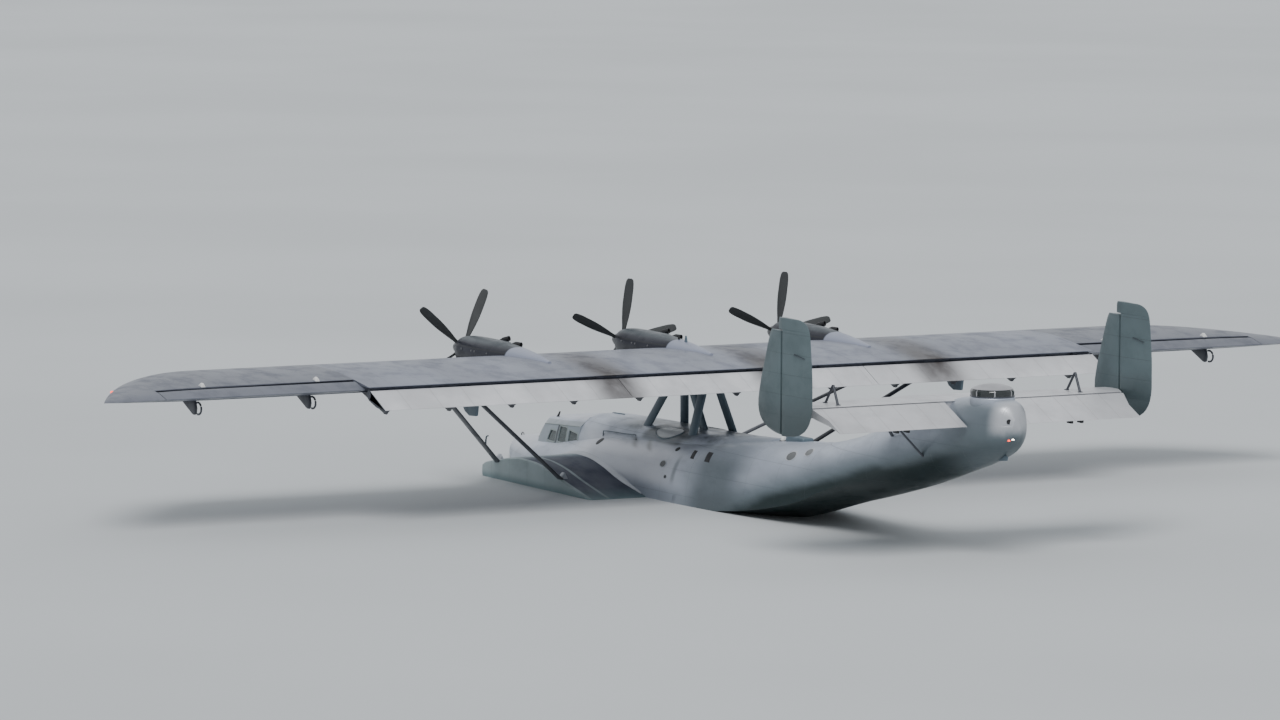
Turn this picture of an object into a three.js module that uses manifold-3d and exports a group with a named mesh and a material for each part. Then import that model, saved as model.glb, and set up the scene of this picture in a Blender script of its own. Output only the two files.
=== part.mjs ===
// A three-engined flying boat, afloat: parasol wing on struts, sponsons on the hull and twin fins.
// Millimetres. +X is forward, +Y is port, +Z is up. The origin is on the centre plane at the waterline.
import * as THREE from "three";
import { ConvexGeometry } from "three/addons/geometries/ConvexGeometry.js";
import { mergeVertices } from "three/addons/utils/BufferGeometryUtils.js";
import Module from "manifold-3d";

const wasm = await Module();
wasm.setup();

// Driving dimensions
const HALF_SPAN = 15000;
const GAP = 0.4;
const SEAL = 15;
const FLAP_END = 9000;
const FLAP_JOINT = 3050;
const ENGINE_SPACING = 4000;
const TIP_START = 11700;
const AILERON_END = 13600;
const TIP_CURVE = 1.8;
const FIN_SIDE = 4050;
const SPONSON_TIP = 2750;

// Colours and finishes of the real surfaces
const paint = (color, roughness = 0.45, metalness = 0.25) =>
  new THREE.MeshStandardMaterial({ color, roughness, metalness });
const SILVER = paint(0xb4bcba);
const WING_GREY = paint(0xc9cccf);
const FIN_GREY = paint(0x8c9894);
const DARK_GREY = paint(0x43484a);
const STRUT_GREY = paint(0x6b7674);
const SEAT_GREY = paint(0x3d4144, 0.8, 0);

const root = new THREE.Group();

// Solids

function solid(geometry) {
  const bare = geometry.clone();
  bare.deleteAttribute("normal");
  bare.deleteAttribute("uv");
  const merged = mergeVertices(bare, 0.001);
  const vertProperties = Float32Array.from(merged.attributes.position.array);
  const triVerts = Uint32Array.from(merged.index.array);
  if (signedVolume(vertProperties, triVerts) < 0) {
    for (let k = 0; k < triVerts.length; k += 3) {
      [triVerts[k + 1], triVerts[k + 2]] = [triVerts[k + 2], triVerts[k + 1]];
    }
  }
  return new wasm.Manifold(new wasm.Mesh({ numProp: 3, vertProperties, triVerts }));
}

function geometryOf(manifold) {
  const mesh = manifold.getMesh();
  const geometry = new THREE.BufferGeometry();
  geometry.setAttribute("position", new THREE.BufferAttribute(Float32Array.from(mesh.vertProperties), 3));
  geometry.setIndex(new THREE.BufferAttribute(Uint32Array.from(mesh.triVerts), 1));
  geometry.computeVertexNormals();
  return geometry;
}

function signedVolume(points, faces) {
  let sum = 0;
  for (let k = 0; k < faces.length; k += 3) {
    const [a, b, c] = [0, 1, 2].map((m) => new THREE.Vector3().fromArray(points, faces[k + m] * 3));
    sum += a.dot(b.cross(c));
  }
  return sum;
}

// A skin through rings of equally many points, closed at both ends by a fan about the ring's middle.
function loft(rings) {
  const count = rings[0].length;
  const points = rings.flat();
  const faces = [];
  for (let i = 0; i + 1 < rings.length; i += 1) {
    for (let j = 0; j < count; j += 1) {
      const a = i * count + j;
      const b = i * count + ((j + 1) % count);
      faces.push([a, b, b + count], [a, b + count, a + count]);
    }
  }
  for (const [ring, start, turn] of [[rings[0], 0, 1], [rings.at(-1), (rings.length - 1) * count, -1]]) {
    const middle = [0, 1, 2].map((k) => ring.reduce((s, p) => s + p[k], 0) / count);
    points.push(middle);
    const hub = points.length - 1;
    for (let j = 0; j < count; j += 1) {
      const pair = [start + ((j + 1) % count), start + j];
      faces.push(turn > 0 ? [hub, pair[0], pair[1]] : [hub, pair[1], pair[0]]);
    }
  }
  const geometry = new THREE.BufferGeometry();
  geometry.setAttribute("position", new THREE.Float32BufferAttribute(points.flat(), 3));
  geometry.setIndex(faces.flat());
  return solid(geometry);
}

// An outline in X and Z, from one Y to another.
function prismY(outline, y0, y1) {
  const shape = new THREE.Shape(outline.map(([x, z]) => new THREE.Vector2(x, z)));
  const geometry = new THREE.ExtrudeGeometry(shape, { depth: y1 - y0, bevelEnabled: false });
  geometry.rotateX(Math.PI / 2);
  geometry.translate(0, y1, 0);
  return solid(geometry);
}

// An outline in X and Y, from one Z to another.
function prismZ(outline, z0, z1) {
  const shape = new THREE.Shape(outline.map(([x, y]) => new THREE.Vector2(x, y)));
  const geometry = new THREE.ExtrudeGeometry(shape, { depth: z1 - z0, bevelEnabled: false });
  geometry.translate(0, 0, z0);
  return solid(geometry);
}

function box(x0, x1, y0, y1, z0, z1) {
  const geometry = new THREE.BoxGeometry(x1 - x0, y1 - y0, z1 - z0);
  geometry.translate((x0 + x1) / 2, (y0 + y1) / 2, (z0 + z1) / 2);
  return solid(geometry);
}

function cylinderX(x0, x1, y, z, radius, sides = 24) {
  const geometry = new THREE.CylinderGeometry(radius, radius, x1 - x0, sides);
  geometry.rotateZ(-Math.PI / 2);
  geometry.translate((x0 + x1) / 2, y, z);
  return solid(geometry);
}

function cylinderY(x, z, y0, y1, radius, sides = 24) {
  const geometry = new THREE.CylinderGeometry(radius, radius, y1 - y0, sides);
  geometry.translate(x, (y0 + y1) / 2, z);
  return solid(geometry);
}

function convex(points) {
  return solid(new ConvexGeometry(points.map(([x, y, z]) => new THREE.Vector3(x, y, z))));
}

// A streamlined bar between two points: an oval section whose long side lies along X.
function bar(from, to, chord, thickness, sides = 12) {
  const ring = ([x, y, z]) => {
    const points = [];
    for (let k = 0; k < sides; k += 1) {
      const angle = (2 * Math.PI * k) / sides;
      points.push([x + (chord / 2) * Math.cos(angle), y + (thickness / 2) * Math.sin(angle), z]);
    }
    return points;
  };
  return loft([ring(from), ring(to)]);
}

// Hinge lugs: pins on the fixed surface that sit in slots of the moving one
const PIN = { radius: 14, half: 20, lug: 8 };

function lugsY(fixed, x, z, reach, places) {
  let body = fixed;
  for (const y of places) {
    body = body.add(cylinderY(x, z, y - PIN.half + GAP, y + PIN.half - GAP, PIN.radius, 12));
    body = body.add(box(x, x + reach, y - PIN.lug, y + PIN.lug, z - 15, z + 15));
  }
  return body;
}

function slotsY(moving, x, z, radius, places) {
  let body = moving;
  for (const y of places) body = body.subtract(cylinderY(x, z, y - PIN.half, y + PIN.half, radius));
  return body;
}

const across = ([x, y, z], side) => [x, side * y, z];

function mirrored(geometry) {
  const copy = geometry.clone();
  copy.scale(1, -1, 1);
  const index = copy.index.array;
  for (let k = 0; k < index.length; k += 3) {
    [index[k + 1], index[k + 2]] = [index[k + 2], index[k + 1]];
  }
  copy.computeVertexNormals();
  return copy;
}

function add(name, piece, material, place = [0, 0, 0], turn = [0, 0, 0], parent = root) {
  const geometry = piece.isBufferGeometry ? piece : geometryOf(piece);
  const mesh = new THREE.Mesh(geometry, material);
  mesh.name = name;
  mesh.position.set(...place);
  mesh.rotation.set(...turn);
  parent.add(mesh);
  return mesh;
}

// Hull: a V bottom with two steps, full sides and a crowned deck that rises to the tail
const DECK_STEPS = 8;
const BOTTOM_STEPS = 4;
const HULL_STATIONS = [
  // x, half width, keel z, chine z, deck z, deck squareness, bottom roundness
  [8400, 70, 180, 260, 330, 2.0, 1.4],
  [8230, 290, -60, 180, 430, 2.0, 1.2],
  [7800, 540, -330, 60, 510, 2.2, 1.1],
  [7000, 810, -530, -60, 600, 2.4, 1.0],
  [6000, 1030, -610, -140, 690, 2.6, 1.0],
  [5000, 1190, -640, -180, 780, 2.7, 1.0],
  [3900, 1300, -650, -200, 930, 2.8, 1.0],
  [2500, 1370, -650, -210, 1150, 2.8, 1.0],
  [0, 1400, -630, -210, 1290, 2.8, 1.0],
  [-1380, 1390, -600, -200, 1340, 2.8, 1.0],
  [-1400, 1345, -440, -130, 1340, 2.8, 1.0],
  [-3000, 1280, -280, -20, 1470, 2.7, 1.0],
  [-4500, 1150, -60, 180, 1600, 2.6, 1.0],
  [-6000, 1010, 260, 480, 1730, 2.5, 1.0],
  [-6020, 1000, 340, 520, 1732, 2.5, 1.2],
  [-7330, 900, 600, 950, 1990, 2.4, 1.4],
  [-8300, 820, 820, 1250, 2270, 2.3, 1.6],
  [-9300, 750, 1060, 1600, 2590, 2.2, 1.8],
  [-10400, 660, 1350, 2050, 2940, 2.2, 2.0],
  [-11500, 590, 1680, 2450, 3240, 2.4, 2.1],
  [-12300, 560, 1930, 2620, 3290, 3.0, 2.2],
  [-12850, 480, 2150, 2680, 3290, 3.0, 2.2],
  [-13120, 330, 2350, 2700, 3220, 2.4, 2.0],
  [-13280, 90, 2560, 2720, 2950, 2.0, 2.0],
];

function hullRing([x, half, keel, chine, deck, square, round]) {
  const side = [];
  for (let k = 0; k <= BOTTOM_STEPS; k += 1) {
    const t = (Math.PI / 2) * (1 - k / BOTTOM_STEPS);
    const y = half * Math.cos(t) ** (2 / round);
    const z = chine - (chine - keel) * Math.sin(t) ** (2 / round);
    side.push([x, k === 0 ? 0 : y, z]);
  }
  for (let k = 1; k <= DECK_STEPS; k += 1) {
    const t = (Math.PI / 2) * (k / DECK_STEPS);
    const y = half * Math.cos(t) ** (2 / square);
    const z = chine + (deck - chine) * Math.sin(t) ** (2 / square);
    side.push([x, k === DECK_STEPS ? 0 : y, z]);
  }
  const other = side.slice(1, -1).reverse().map(([px, py, pz]) => [px, -py, pz]);
  return side.concat(other);
}

// The raised spine behind the cockpit, which carries the cabane
const SPINE_STATIONS = [
  // x, half width, foot z, top z
  [3900, 860, 500, 1385],
  [2500, 900, 700, 1415],
  [0, 880, 800, 1440],
  [-1900, 760, 900, 1480],
  [-3700, 420, 1100, 1570],
];

function spineRing([x, half, foot, top]) {
  const ring = [[x, half, foot]];
  for (let k = 1; k < 8; k += 1) {
    const t = (Math.PI * k) / 8;
    const across = Math.sign(Math.cos(t)) * Math.abs(Math.cos(t)) ** 0.7;
    ring.push([x, half * across, foot + (top - foot) * Math.sin(t) ** 0.7]);
  }
  ring.push([x, -half, foot]);
  return ring;
}

const COCKPIT = { x0: 4050, x1: 6150, half: 580, floor: 60 };
const RING = { x: -12340, radius: 460, wall: 60, z0: 3150, z1: 3330, well: 420 };
const bareHull = loft(HULL_STATIONS.map(hullRing)).add(loft(SPINE_STATIONS.map(spineRing)));

// Cockpit canopy: a faceted shell with a raked windscreen, its windows cut through
const CANOPY_POINTS = [
  // x, y, z of the port half
  [3901, 860, 600], [3901, 800, 1100], [3901, 545, 1310], [3901, 0, 1385],
  [5000, 850, 480], [5000, 740, 1040], [5000, 500, 1190],
  [5900, 740, 430], [5900, 640, 970], [5860, 420, 1090], [6380, 0, 1105], [6290, 300, 1075],
  [6250, 680, 430], [6780, 400, 430], [7020, 0, 430],
];
const WALL = 45;

function canopyPoints(inset) {
  const centre = [5200, 0, 400];
  const out = [];
  for (const [x, y, z] of CANOPY_POINTS) {
    const nx = inset > 0 && x < 4000 ? x : x - (x - centre[0]) * (inset / 1400);
    const ny = y * (1 - inset / 760);
    const nz = z - (z - centre[2]) * (inset / 780) * (z > 600 ? 1 : 0);
    out.push([nx, ny, nz], [nx, -ny, nz]);
  }
  return out;
}

const CANOPY_SIDE_PANES = [
  // x from, x to, z from, z to
  [3985, 4440, 690, 970],
  [4545, 4970, 680, 1010],
  [5110, 5570, 650, 880],
];
const CANOPY_FRONT_PANES = [
  // y from, y to, z from, z to
  [45, 330, 650, 1000],
  [390, 560, 640, 900],
];

function canopy() {
  const inner = convex(canopyPoints(WALL)).subtract(box(3000, 3901 + WALL, -2000, 2000, -500, 3000));
  let shell = convex(canopyPoints(0)).subtract(inner);
  for (const [x0, x1, z0, z1] of CANOPY_SIDE_PANES) {
    shell = shell.subtract(box(x0, x1, -1500, 1500, z0, z1));
  }
  for (const [y0, y1, z0, z1] of CANOPY_FRONT_PANES) {
    shell = shell.subtract(box(5900, 7500, y0, y1, z0, z1));
    shell = shell.subtract(box(5900, 7500, -y1, -y0, z0, z1));
  }
  const bulkhead = box(3000, 3900 + GAP, -2000, 2000, -500, 3000);
  return shell.subtract(bareHull.translate([0, 0, 1])).subtract(bulkhead);
}

// Wing: one section from flap end to flap end, then panels with raked tips
const TRAILING_X = -1830;
const WING_TOP = [
  // x, z from the leading edge aft
  [1870, 2890], [1800, 2970], [1600, 3040], [1200, 3105], [600, 3145], [-100, 3140], [-700, 3095],
  [-1200, 3030],
];
const WING_BOTTOM = [
  [-1200, 2735], [-700, 2675], [0, 2640], [700, 2640], [1300, 2690], [1650, 2765], [1820, 2830],
];
const SHROUD = { x: -1970, top: 2925, skin: 50 };
const COVE_X = -1060;

function sectionAt(y, drop) {
  const shown = WING_TOP.concat([[TRAILING_X, 2862], [TRAILING_X, 2846]], WING_BOTTOM);
  const lead = leadingEdge(y);
  const size = (lead - TRAILING_X) / (1870 - TRAILING_X);
  return shown.map(([x, z]) => [TRAILING_X + (x - TRAILING_X) * size, y, 2854 + (z - 2854) * size + drop]);
}

function leadingEdge(y) {
  if (y <= TIP_START) return 1870;
  const way = (y - TIP_START) / (HALF_SPAN - TIP_START);
  return 1870 - (1870 - TRAILING_X - 60) * way ** TIP_CURVE;
}

const TIP_STATIONS = [TIP_START, 12500, 13200, 13800, 14300, 14700, HALF_SPAN];
const AILERON = { x: -1290, z: 2885, radius: 128, y0: FLAP_END + SEAL, y1: AILERON_END };
const AILERON_HINGES = [9950, 12600];
const FLAP_HINGE = { x: -1800, z: 2360 };
const CENTRE_ARMS = [-2400, 0, 2400];
const SIDE_ARMS = [4000, 5500, 7000, 8500];
const FLAP = { noseX: -1955, noseZ: 2765, radius: 88, tipX: -2680, tipZ: 2500 };

function flapArms(y0, y1) {
  return y0 < 0 && y1 > 0 ? CENTRE_ARMS : SIDE_ARMS;
}

function wingBracket(y) {
  const outline = [[-560, 2690], [-1080, 2740], [-1190, 2700], [-1850, 2400], [-1850, 2320], [-1750, 2310]];
  const pin = cylinderY(FLAP_HINGE.x, FLAP_HINGE.z, y, y + 22 - GAP, PIN.radius, 12);
  return prismY(outline, y - 14, y + 14).add(pin);
}

function wingCentre() {
  const outline = WING_TOP.concat([[SHROUD.x, SHROUD.top], [SHROUD.x, SHROUD.top - SHROUD.skin]]);
  const under = [[-1200, 3030 - SHROUD.skin], [COVE_X, 3045 - SHROUD.skin], [COVE_X, 2722]];
  let wing = prismY(outline.concat(under, WING_BOTTOM.slice(1)), -FLAP_END + GAP, FLAP_END - GAP);
  for (const y of CENTRE_ARMS) wing = wing.add(wingBracket(y));
  for (const y of SIDE_ARMS) wing = wing.add(wingBracket(y)).add(wingBracket(-y));
  return wing;
}

function wingOuter() {
  const inner = sectionAt(FLAP_END, 0);
  const stations = [inner].concat(TIP_STATIONS.map((y) => sectionAt(y, 0)));
  let wing = loft(stations);
  const y0 = FLAP_END - 100;
  const cove = cylinderY(AILERON.x, AILERON.z, y0, AILERON.y1 + SEAL, AILERON.radius + SEAL, 32);
  wing = wing.subtract(cove);
  wing = wing.subtract(box(-3000, AILERON.x, y0, AILERON.y1 + SEAL, 2000, 3600));
  const bracket = [[-400, 2745], [-1100, 2765], [-1120, 2480], [-1050, 2420], [-960, 2440]];
  for (const y of AILERON_HINGES) wing = wing.add(prismY(bracket, y - 30, y + 30));
  return lugsY(wing, AILERON.x, AILERON.z, 200, AILERON_HINGES);
}

function aileron() {
  const { x, z, radius } = AILERON;
  const nose = [];
  for (let k = 0; k <= 8; k += 1) {
    const angle = Math.PI * (0.44 - (0.94 * k) / 8);
    nose.push([radius * Math.cos(angle), radius * Math.sin(angle)]);
  }
  const outline = nose.concat([[TRAILING_X - x, 2846 - z], [TRAILING_X - x, 2862 - z]]);
  return slotsY(prismY(outline, AILERON.y0, AILERON.y1), 0, 0, radius + SEAL, AILERON_HINGES);
}

function flap(y0, y1) {
  const { noseX, noseZ, radius, tipX, tipZ } = FLAP;
  const [cx, cz] = [noseX - FLAP_HINGE.x, noseZ - FLAP_HINGE.z];
  const slope = Math.atan2(tipZ - noseZ, tipX - noseX);
  const outline = [];
  for (let k = 0; k <= 8; k += 1) {
    const angle = slope - Math.PI / 2 - 0.06 - ((Math.PI - 0.12) * (8 - k)) / 8 - Math.PI;
    outline.push([cx + radius * Math.cos(angle), cz + radius * Math.sin(angle)]);
  }
  const [endX, endZ] = [tipX - FLAP_HINGE.x, tipZ - FLAP_HINGE.z];
  outline.push([endX, endZ - 6], [endX, endZ + 6]);
  let body = prismY(outline, y0, y1);
  const side = y0 + y1 < 0 ? -1 : 1;
  for (const y of flapArms(y0, y1)) {
    const at = (y0 < 0 && y1 > 0 ? y : side * y) + 36;
    const arm = [[-190, 330], [-560, 200], [-420, 150], [-40, -40], [40, -40], [40, 30]];
    body = body.add(prismY(arm, at - 14, at + 14));
  }
  return body;
}

// Nacelles: open-fronted cowls that wrap the leading edge, each with its engine and propeller
const NACELLE_STATIONS = [
  // x, half width, bottom z, top z
  [3290, 265, 2800, 3300],
  [3180, 330, 2730, 3345],
  [2850, 395, 2640, 3375],
  [2300, 425, 2540, 3380],
  [1700, 420, 2520, 3370],
  [1100, 370, 2680, 3330],
  [500, 290, 2760, 3280],
  [-100, 190, 2830, 3215],
  [-650, 60, 2950, 3135],
];
const HUB = { x: 3420, z: 3060 };
const ENGINE = { x0: 1990 + GAP, x1: 2900, radius: 240 };
const SHAFT_END = ENGINE.x1 + GAP - HUB.x;
const BAY = { x0: 1990, x1: 3400, wall: 40, radius: 235 };

function nacelleRing([x, half, bottom, top], shrink = 0) {
  const ring = [];
  const middle = (bottom + top) / 2;
  for (let k = 0; k < 20; k += 1) {
    const t = (2 * Math.PI * k) / 20;
    const c = Math.sign(Math.cos(t)) * Math.abs(Math.cos(t)) ** 0.85;
    const s = Math.sign(Math.sin(t)) * Math.abs(Math.sin(t)) ** 0.85;
    ring.push([x, (half - shrink) * c, middle + ((top - bottom) / 2 - shrink) * s]);
  }
  return ring;
}

const wingSolid = wingCentre();

function nacelle(y) {
  let shell = loft(NACELLE_STATIONS.map((s) => nacelleRing(s)));
  const bayStations = NACELLE_STATIONS.slice(1, 4);
  const bayEnds = [[BAY.x1, 265, 2800, 3300], [BAY.x0, 424, 2510, 3375]];
  const bay = loft([bayEnds[0], ...bayStations, bayEnds[1]].map((s) => nacelleRing(s, BAY.wall)));
  shell = shell.subtract(bay.subtract(box(3150, 3600, -600, 600, 2000, 4000)));
  shell = shell.subtract(cylinderX(3100, 3600, 0, HUB.z, BAY.radius));
  for (const side of [-1, 1]) {
    shell = shell.add(bar([2500, side * 380, 3180], [2330, side * 560, 3300], 150, 90));
  }
  const wing = wingSolid.translate([0, -y, 0]);
  const moves = [[0, 0, 0], [0, 0, GAP], [0, 0, -GAP], [GAP, 0, 0]];
  for (const move of moves) shell = shell.subtract(wing.translate(move));
  return shell;
}

const BLADE_STATIONS = [
  // radius, chord, thickness, pitch in degrees
  [150, 90, 70, 60],
  [300, 130, 50, 55],
  [550, 215, 32, 44],
  [850, 225, 22, 35],
  [1150, 190, 14, 29],
  [1330, 140, 9, 26],
  [1390, 80, 6, 25],
];

function blade(turn) {
  const rings = BLADE_STATIONS.map(([radius, chord, thick, pitch]) => {
    const angle = (pitch * Math.PI) / 180;
    const ring = [];
    for (let k = 0; k < 8; k += 1) {
      const t = (2 * Math.PI * k) / 8;
      const [u, v] = [(chord / 2) * Math.cos(t), (thick / 2) * Math.sin(t)];
      const along = u * Math.sin(angle) + v * Math.cos(angle);
      const aside = u * Math.cos(angle) - v * Math.sin(angle);
      const y = aside * Math.cos(turn) + radius * Math.sin(turn);
      const z = radius * Math.cos(turn) - aside * Math.sin(turn);
      ring.push([along, y, z]);
    }
    return ring;
  });
  return loft(rings);
}

function propeller() {
  const profile = [
    [0, 430], [45, 400], [95, 320], [140, 210], [165, 100], [172, 0], [172, -95], [70, -95],
    [70, SHAFT_END], [0, SHAFT_END],
  ];
  const spinner = new THREE.LatheGeometry(profile.reverse().map(([r, x]) => new THREE.Vector2(r, x)), 24);
  spinner.rotateZ(-Math.PI / 2);
  let body = solid(spinner);
  for (let k = 0; k < 5; k += 1) body = body.add(blade((2 * Math.PI * k) / 5));
  return body;
}

// Sponsons: stub wings that float the hull level
const SPONSON_OUTLINE = [
  [5010, 60], [5000, 250], [4850, 320], [4330, 420], [3700, 530], [3030, 585], [2500, 570], [1900, 490],
  [960, 270], [-200, 20], [-200, -60], [1000, -110], [4200, -150], [4850, -130],
];

function sponson(side) {
  const ring = (y, swell, deep) => SPONSON_OUTLINE.map(([x, z]) => [
    2400 + (x - 2400) * swell, side * y, z > 0 ? z * swell : z * deep,
  ]);
  const body = loft([
    ring(900, 1.02, 2.0), ring(2450, 1, 1.2), ring(SPONSON_TIP - 60, 0.985, 1), ring(SPONSON_TIP, 0.95, 0.9),
  ]);
  return body.subtract(bareHull).subtract(bareHull.translate([0, side * GAP * 2, 0]));
}

// Tail: plane with rounded nose, elevators with cut ends, fins with horn-balanced rudders
const TAIL = { lead: -9850, hinge: -11440, z: 3050, thick: 200, tip: FIN_SIDE - 78 - GAP };
const ELEVATOR = { radius: 84, root: 600, chord: 960 };
const ELEVATOR_HINGES = [950, 3300];
const NOTCH_Y = FIN_SIDE - 335;
const RUDDER_HINGES = [3600, 4300];
const RUDDER = { x: -10950, radius: 78, lowerTop: 4731 };

function tailplane() {
  const t = TAIL.thick / 2;
  const nose = [[0, 0], [-60, t * 0.6], [-220, t * 0.92], [-500, t]];
  const ring = (y) => {
    const lead = TAIL.lead - Math.max(0, Math.abs(y) - 600) * 0.09;
    const top = nose.map(([dx, dz]) => [lead + dx, y, TAIL.z + dz]);
    const rear = [[TAIL.hinge, y, TAIL.z + t], [TAIL.hinge, y, TAIL.z - t]];
    const bottom = nose.slice(1).reverse().map(([dx, dz]) => [lead + dx, y, TAIL.z - dz]);
    return top.concat(rear, bottom);
  };
  let body = loft([ring(-TAIL.tip), ring(-600), ring(600), ring(TAIL.tip)]);
  for (const side of [-1, 1]) {
    const y = side * 2900;
    body = body.add(bar([-10560, y, 3120], [-10880, y, 3545], 44, 44, 6));
    body = body.add(bar([-11090, y, 3120], [-10880, y, 3545], 44, 44, 6));
  }
  const coveEnd = TAIL.tip + 10;
  body = body.subtract(cylinderY(TAIL.hinge, TAIL.z, -coveEnd, coveEnd, ELEVATOR.radius + SEAL, 32));
  for (const side of [-1, 1]) {
    const notch = [
      [-10880, TAIL.tip], [-10880, FIN_SIDE], [-11700, FIN_SIDE], [-11700, NOTCH_Y], [-11400, NOTCH_Y],
    ];
    body = body.subtract(prismZ(notch.map(([x, y]) => [x, side * y]), 2900, 3200));
  }
  return lugsY(body, TAIL.hinge, TAIL.z, 150, ELEVATOR_HINGES.concat(ELEVATOR_HINGES.map((y) => -y)));
}

function elevator() {
  const { radius, root: y0, chord } = ELEVATOR;
  const section = (y) => {
    const points = [];
    for (let k = 0; k <= 8; k += 1) {
      const angle = Math.PI * (0.47 - (0.94 * k) / 8);
      points.push([radius * Math.cos(angle), y, radius * Math.sin(angle)]);
    }
    points.push([-chord, y, -6], [-chord, y, 6]);
    return points;
  };
  const body = loft([section(y0), section(FIN_SIDE - 330)]);
  const cut = [[200, FIN_SIDE - 335], [-60, FIN_SIDE - 345], [-500, FIN_SIDE - 470], [-1200, FIN_SIDE - 470]];
  const cutBody = body.subtract(prismZ(cut.concat([[-1200, 5000], [200, 5000]]), -500, 500));
  return slotsY(cutBody, 0, 0, radius + SEAL, ELEVATOR_HINGES);
}

const FIN_OUTLINE = [
  [-10870, 2570], [-10560, 2600], [-10230, 2680], [-10000, 2800], [-9860, 2980], [-9830, 3150], [-9900, 3500],
  [-10130, 4150], [-10330, 4650], [-10370, 4700], [-10870, 4700],
];
const RUDDER_OUTLINE = [
  [0, 2555], [-330, 2580], [-640, 2660], [-870, 2800], [-1010, 3000], [-1068, 3250], [-1065, 3700],
  [-1010, 4300], [-950, 4700], [-880, 4830], [-740, 4920], [-480, 4968], [200, 4960], [270, 4930],
  [290, 4780], [290, 4730], [0, 4730],
];

function fin() {
  const half = 78;
  const body = prismY(FIN_OUTLINE, -half, half);
  const portSide = [
    [-9700, 0], [-9830, 12], [-9930, 42], [-10150, 66], [-10450, half + 1], [RUDDER.x, half + 1],
  ];
  const plan = portSide.concat(portSide.slice(1).reverse().map(([x, y]) => [x, -y]));
  let post = body.intersect(prismZ(plan, 2000, 5200));
  post = post.subtract(cylinderZ(RUDDER.x, 0, 2000, 5200, RUDDER.radius + SEAL));
  for (const z of RUDDER_HINGES) {
    post = post.add(cylinderZ(RUDDER.x, 0, z - PIN.half + GAP, z + PIN.half - GAP, PIN.radius, 12));
    post = post.add(box(RUDDER.x, RUDDER.x + 150, -15, 15, z - PIN.lug, z + PIN.lug));
  }
  return post;
}

function cylinderZ(x, y, z0, z1, radius, sides = 32) {
  const geometry = new THREE.CylinderGeometry(radius, radius, z1 - z0, sides);
  geometry.rotateX(Math.PI / 2);
  geometry.translate(x, y, (z0 + z1) / 2);
  return solid(geometry);
}

function rudder() {
  const body = prismY(RUDDER_OUTLINE, -80, 80);
  const plan = [];
  for (let k = 0; k <= 8; k += 1) {
    const angle = Math.PI * (0.47 - (0.94 * k) / 8);
    plan.push([RUDDER.radius * Math.cos(angle), RUDDER.radius * Math.sin(angle)]);
  }
  plan.push([-1100, -7], [-1100, 7]);
  const lower = prismZ(plan, 2000, RUDDER.lowerTop);
  const hornPlan = [[300, 20], [240, 50], [0, 60], [-1100, 7], [-1100, -7], [0, -60], [240, -50], [300, -20]];
  let surface = body.intersect(lower.add(prismZ(hornPlan, RUDDER.lowerTop - 1, 5200)));
  for (const z of RUDDER_HINGES) {
    surface = surface.subtract(cylinderZ(0, 0, z - PIN.half, z + PIN.half, RUDDER.radius + SEAL));
  }
  return surface;
}

// Tail cockpit: a coaming ring with a glazed dome
function tailDome() {
  const { x, radius, z1 } = RING;
  const outer = [
    [radius - 5, 0], [radius - 5, 110], [radius - 70, 170], [radius - 180, 220], [radius - 320, 250], [0, 258],
  ];
  const inner = [
    [0, 232], [radius - 330, 224], [radius - 200, 194], [radius - 95, 146], [radius - 35, 100], [radius - 35, 0],
  ];
  const profile = outer.concat(inner, [outer[0]]).map(([r, z]) => new THREE.Vector2(r, z));
  const lathe = new THREE.LatheGeometry(profile.reverse(), 24);
  lathe.rotateX(Math.PI / 2);
  lathe.translate(x, 0, z1 + GAP);
  let dome = solid(lathe);
  for (let k = 0; k < 4; k += 1) {
    const geometry = new THREE.BoxGeometry(1200, 250, 75);
    geometry.rotateZ((Math.PI * (k + 0.5)) / 4);
    geometry.translate(x, 0, z1 + 62);
    dome = dome.subtract(solid(geometry));
  }
  return dome;
}

function hull() {
  const { x0, x1, half, floor } = COCKPIT;
  let body = bareHull.subtract(box(x0, x1, -half, half, floor, 1800));
  body = body.add(cylinderZ(RING.x, 0, RING.z0, RING.z1, RING.radius));
  body = body.subtract(cylinderZ(RING.x, 0, RING.z1 - RING.well, RING.z1 + 100, RING.radius - RING.wall));
  const slot = box(TAIL.hinge - 60, TAIL.lead + 40, -1500, 1500, TAIL.z - 101, TAIL.z + 101);
  return body.subtract(slot);
}

// Assembly
const bareTailplane = tailplane();
add("hull", hull().subtract(box(TAIL.hinge - 130, TAIL.hinge, -1500, 1500, 2940, 3160)), SILVER);
add("canopy", canopy(), SILVER);

const seat = box(-260, 260, -230, 230, 60.4, 330).add(box(-300, -180, -230, 230, 330, 860));
for (const [name, side] of [["seat_left", 1], ["seat_right", -1]]) {
  add(name, seat, SEAT_GREY, [4750, side * 300, GAP]);
}
add("instrument_panel", box(5850, COCKPIT.x1 - GAP, -560, 560, 430, 700), DARK_GREY);

const SIDES = [["left", 1], ["right", -1]];
const sponsons = {};
for (const [name, side] of SIDES) {
  sponsons[name] = sponson(side);
  add(`sponson_${name}`, sponsons[name], SILVER);
}

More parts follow.
